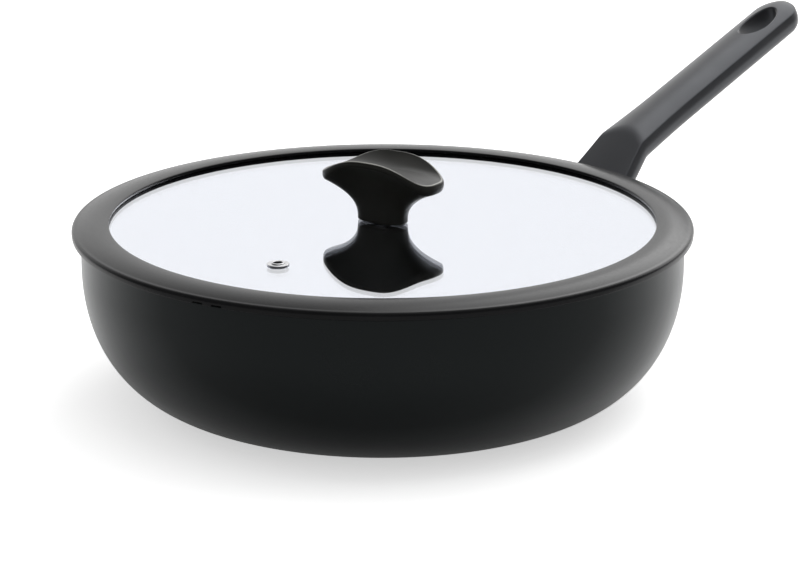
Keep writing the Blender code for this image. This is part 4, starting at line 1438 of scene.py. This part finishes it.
class WOK_OT_knob_fastening(bpy.types.Operator):
    """Fit the knob's gasket, insert, bush, washer and screw through the glass"""

    bl_idname = "wok.knob_fastening"
    bl_label = "Knob fastening"

    def execute(self, context):
        lid, knob = context.scene.wok_lid, context.scene.wok_knob
        clear = silicone_finish("translucent_silicone", linear("#5d5f60"), (0.4, 0.5))
        dark = silicone_finish("gasket_silicone", linear("#1a1b1b"), (0.4, 0.5))
        steel = worked_metal_finish("pressed_stainless_steel", "#cfcfd1", 0.24)
        brass = worked_metal_finish("turned_brass", "#d8b868", 0.3)
        bore = SCREW_RADIUS + PLAY
        low, high = KNOB_SEAT, KNOB_SEAT + INSERT_LENGTH
        edge = (INSERT_RADIUS - bore) / 3
        corners = [(bore, low, 0.0), (bore, high, 0.0)]
        corners += [(INSERT_RADIUS, high, edge), (INSERT_RADIUS, low, edge)]
        insert = turned(rounded(corners), brass)
        settle("threaded_insert", insert, "lid", ["knob_insert"], knob_place(context))
        blank = oval_block(knob, GASKET_INSET, GASKET_SNUG, GAP + GASKET, dark)
        gasket = cut(blank, [bore_mesh(bore, GASKET_CUT, -GASKET_CUT)])
        settle("foot_gasket", gasket, "lid", ["knob_gasket"], knob_place(context))
        top, neck, edge = -lid.glass_thickness - GAP, lid.glass_hole - GAP, BUSH_FLANGE / 4
        corners = [
            (bore, -GAP, 0.0),
            (neck, -GAP, 0.0),
            (neck, top, 0.0),
            (BUSH_FLANGE_RADIUS, top, edge),
            (BUSH_FLANGE_RADIUS, top - BUSH_FLANGE, edge),
            (bore, top - BUSH_FLANGE, 0.0),
        ]
        bush = turned(rounded(corners), clear)
        settle("glass_bush", bush, "lid", ["knob_bush"], lid_place(context))
        washer_top = top - BUSH_FLANGE - GAP
        washer = washer_mesh(bore, WASHER_RADIUS, washer_top, WASHER, steel)
        settle("lid_washer", washer, "lid", ["knob_washer"], lid_place(context))
        seat = washer_top - WASHER - GAP
        head = (SCREW_HEAD_RADIUS, SCREW_HEAD_HEIGHT)
        screw = screw_mesh(SCREW_RADIUS, SCREW_REACH, seat, *head, SCREW_PITCH, steel)
        settle("lid_screw", screw, "lid", ["knob_screw"], lid_place(context))
        return {"FINISHED"}


# Stage

WHITE = (1.0, 1.0, 1.0, 1.0)

# World strength that lights the object, and the least that mirrors see, behind the camera
WORLD_LIGHT = 0.42
WORLD_BEHIND = 0.16

# How far ahead a direction points where the world starts to brighten, and where it is white
WORLD_AHEAD = (0.05, 1.0)

# Paper's glow that brings it up to white for the camera, and in mirrors
PAPER_GLOW = 0.56
PAPER_MIRRORED = 0.08

# Lamps: place from the rim's middle as the camera sees it, size, power, and if mirrors show them
SOFTBOXES = {
    "top_softbox": ((0.4, 0.3, 2.2), (2.4, 2.2), 18.0, True),
    "back_softbox": ((0.95, 1.35, 1.45), (2.0, 2.0), 17.0, True),
    "right_softbox": ((1.5, 0.2, 0.9), (1.0, 1.0), 4.0, False),
    "left_softbox": ((-1.5, 0.5, 0.9), (1.0, 1.0), 2.0, False),
}


def camera_turn(stage):
    """Matrix from the camera's own right, ahead and up to the object's axes, from the rim's middle."""
    lift = Matrix.Translation((0.0, 0.0, stage.aim_height))
    return lift @ Matrix.Rotation(stage.azimuth, 4, "Z")


def softbox(name, stage, place, size, power, mirrored):
    """Flat lamp at a place seen from the camera, aimed at the middle of the rim."""
    data = bpy.data.lights.new(name, "AREA")
    data.shape = "RECTANGLE"
    data.size, data.size_y = size
    data.energy = power
    lamp = add_object(name, data)
    lamp.visible_glossy = lamp.visible_transmission = mirrored
    turn = camera_turn(stage)
    lamp.location = turn @ Vector(place)
    direction = turn.translation - lamp.location
    lamp.rotation_euler = direction.to_track_quat("-Z", "Y").to_euler()


def light_path(tree):
    """Outputs that tell the kind of ray, and one that is 1 after a mirror or through glass."""
    path = add_node(tree, "ShaderNodeLightPath")
    bounces = [path["Is Glossy Ray"], path["Is Transmission Ray"]]
    return path, add_node(tree, MATH, bounces, operation="MAXIMUM")[0]


def make_world(stage):
    """White ahead for the camera and in mirrors, dimmer behind the camera, and an even light."""
    world = bpy.data.worlds.new("white_studio")
    bpy.context.scene.world = world
    world.use_nodes = True
    tree = world.node_tree
    direction = add_node(tree, "ShaderNodeTexCoord")["Generated"]
    heading = (-sin(stage.azimuth), cos(stage.azimuth), 0.0)
    ahead = add_node(tree, VECTOR_MATH, [direction, heading], operation="DOT_PRODUCT")["Value"]
    ramp = [ahead, *WORLD_AHEAD, WORLD_BEHIND, 1.0]
    mirrored = add_node(tree, MAP_RANGE, ramp, interpolation_type="SMOOTHSTEP")[0]
    path, shiny = light_path(tree)
    lit = add_node(tree, MIX, {0: shiny, 2: WORLD_LIGHT, 3: mirrored}, data_type="FLOAT")[0]
    seen = add_node(tree, MIX, {0: path["Is Camera Ray"], 2: lit, 3: 1.0}, data_type="FLOAT")[0]
    sky = tree.nodes["Background"].inputs
    sky["Color"].default_value = WHITE
    tree.links.new(seen, sky["Strength"])


def paper_finish():
    """White seamless paper: camera and mirrors see it lit to white, with the soft shadow kept."""
    fixed = {"Roughness": 0.9, "Specular IOR Level": 0.1, "Emission Color": WHITE}
    made = start_finish("seamless_paper", fixed)
    tree = made.tree
    path, shiny = light_path(tree)
    seen = add_node(tree, MATH, [path["Is Camera Ray"], shiny], operation="MAXIMUM")[0]
    papers = {6: linear("#eeeeee"), 7: WHITE}
    paper = add_node(tree, MIX, {0: seen, **papers}, data_type="RGBA")[2]
    faint = add_node(tree, MATH, [path["Is Glossy Ray"], PAPER_MIRRORED], operation="MULTIPLY")[0]
    glows = {0: path["Is Camera Ray"], 2: faint, 3: PAPER_GLOW}
    glow = add_node(tree, MIX, glows, data_type="FLOAT")[0]
    tree.links.new(paper, made.sockets["Base Color"])
    tree.links.new(glow, made.sockets["Emission Strength"])
    return made.material


class WOK_OT_stage(bpy.types.Operator):
    """Lay the paper floor, and set the lamps and the camera"""

    bl_idname = "wok.stage"
    bl_label = "Stage"

    def execute(self, context):
        stage = context.scene.wok_stage
        half = stage.floor_size / 2
        sheet = bpy.data.meshes.new("paper_floor")
        corners = [(-half, -half, 0.0), (half, -half, 0.0), (half, half, 0.0), (-half, half, 0.0)]
        sheet.from_pydata(corners, [], [(0, 1, 2, 3)])
        sheet.materials.append(paper_finish())
        floor = add_object("paper_floor", sheet)
        make_world(stage)
        for name, settings in SOFTBOXES.items():
            softbox(name, stage, *settings)
        camera = bpy.data.cameras.new("camera")
        camera.lens = stage.lens / MM
        camera.sensor_width = 36.0
        camera.clip_start, camera.clip_end = 0.05, 50.0
        eye = add_object("camera", camera)
        back = Vector((0.0, -cos(stage.elevation), sin(stage.elevation))) * stage.distance
        eye.location = camera_turn(stage) @ (back + Vector((stage.sideways, 0.0, 0.0)))
        eye.rotation_euler = (pi / 2 - stage.tilt, 0.0, stage.azimuth)
        context.scene.camera = eye
        context.scene.view_settings.view_transform = "Standard"
        return {"FINISHED"}


OPERATORS = (
    WOK_OT_stage,
    WOK_OT_pan,
    WOK_OT_plate,
    WOK_OT_handle,
    WOK_OT_bracket,
    WOK_OT_glass,
    WOK_OT_rim,
    WOK_OT_knob,
    WOK_OT_knob_fastening,
    WOK_OT_vent,
)


class WOK_PT_panel(bpy.types.Panel):
    """Buttons that build the wok, piece by piece"""

    bl_idname = "WOK_PT_panel"
    bl_label = "Lidded wok"
    bl_space_type = "VIEW_3D"
    bl_region_type = "UI"
    bl_category = "Wok"

    def draw(self, context):
        for operator in OPERATORS:
            self.layout.operator(operator.bl_idname)


def register():
    for kind in (*SETTINGS.values(), *OPERATORS, WOK_PT_panel):
        bpy.utils.register_class(kind)
    for name, kind in SETTINGS.items():
        setattr(bpy.types.Scene, name, PointerProperty(type=kind))


def unregister():
    for name in SETTINGS:
        delattr(bpy.types.Scene, name)
    for kind in (WOK_PT_panel, *reversed(OPERATORS), *reversed(SETTINGS.values())):
        bpy.utils.unregister_class(kind)


def main():
    register()
    for operator in OPERATORS:
        group, name = operator.bl_idname.split(".")
        getattr(getattr(bpy.ops, group), name)()


if __name__ == "__main__":
    main()
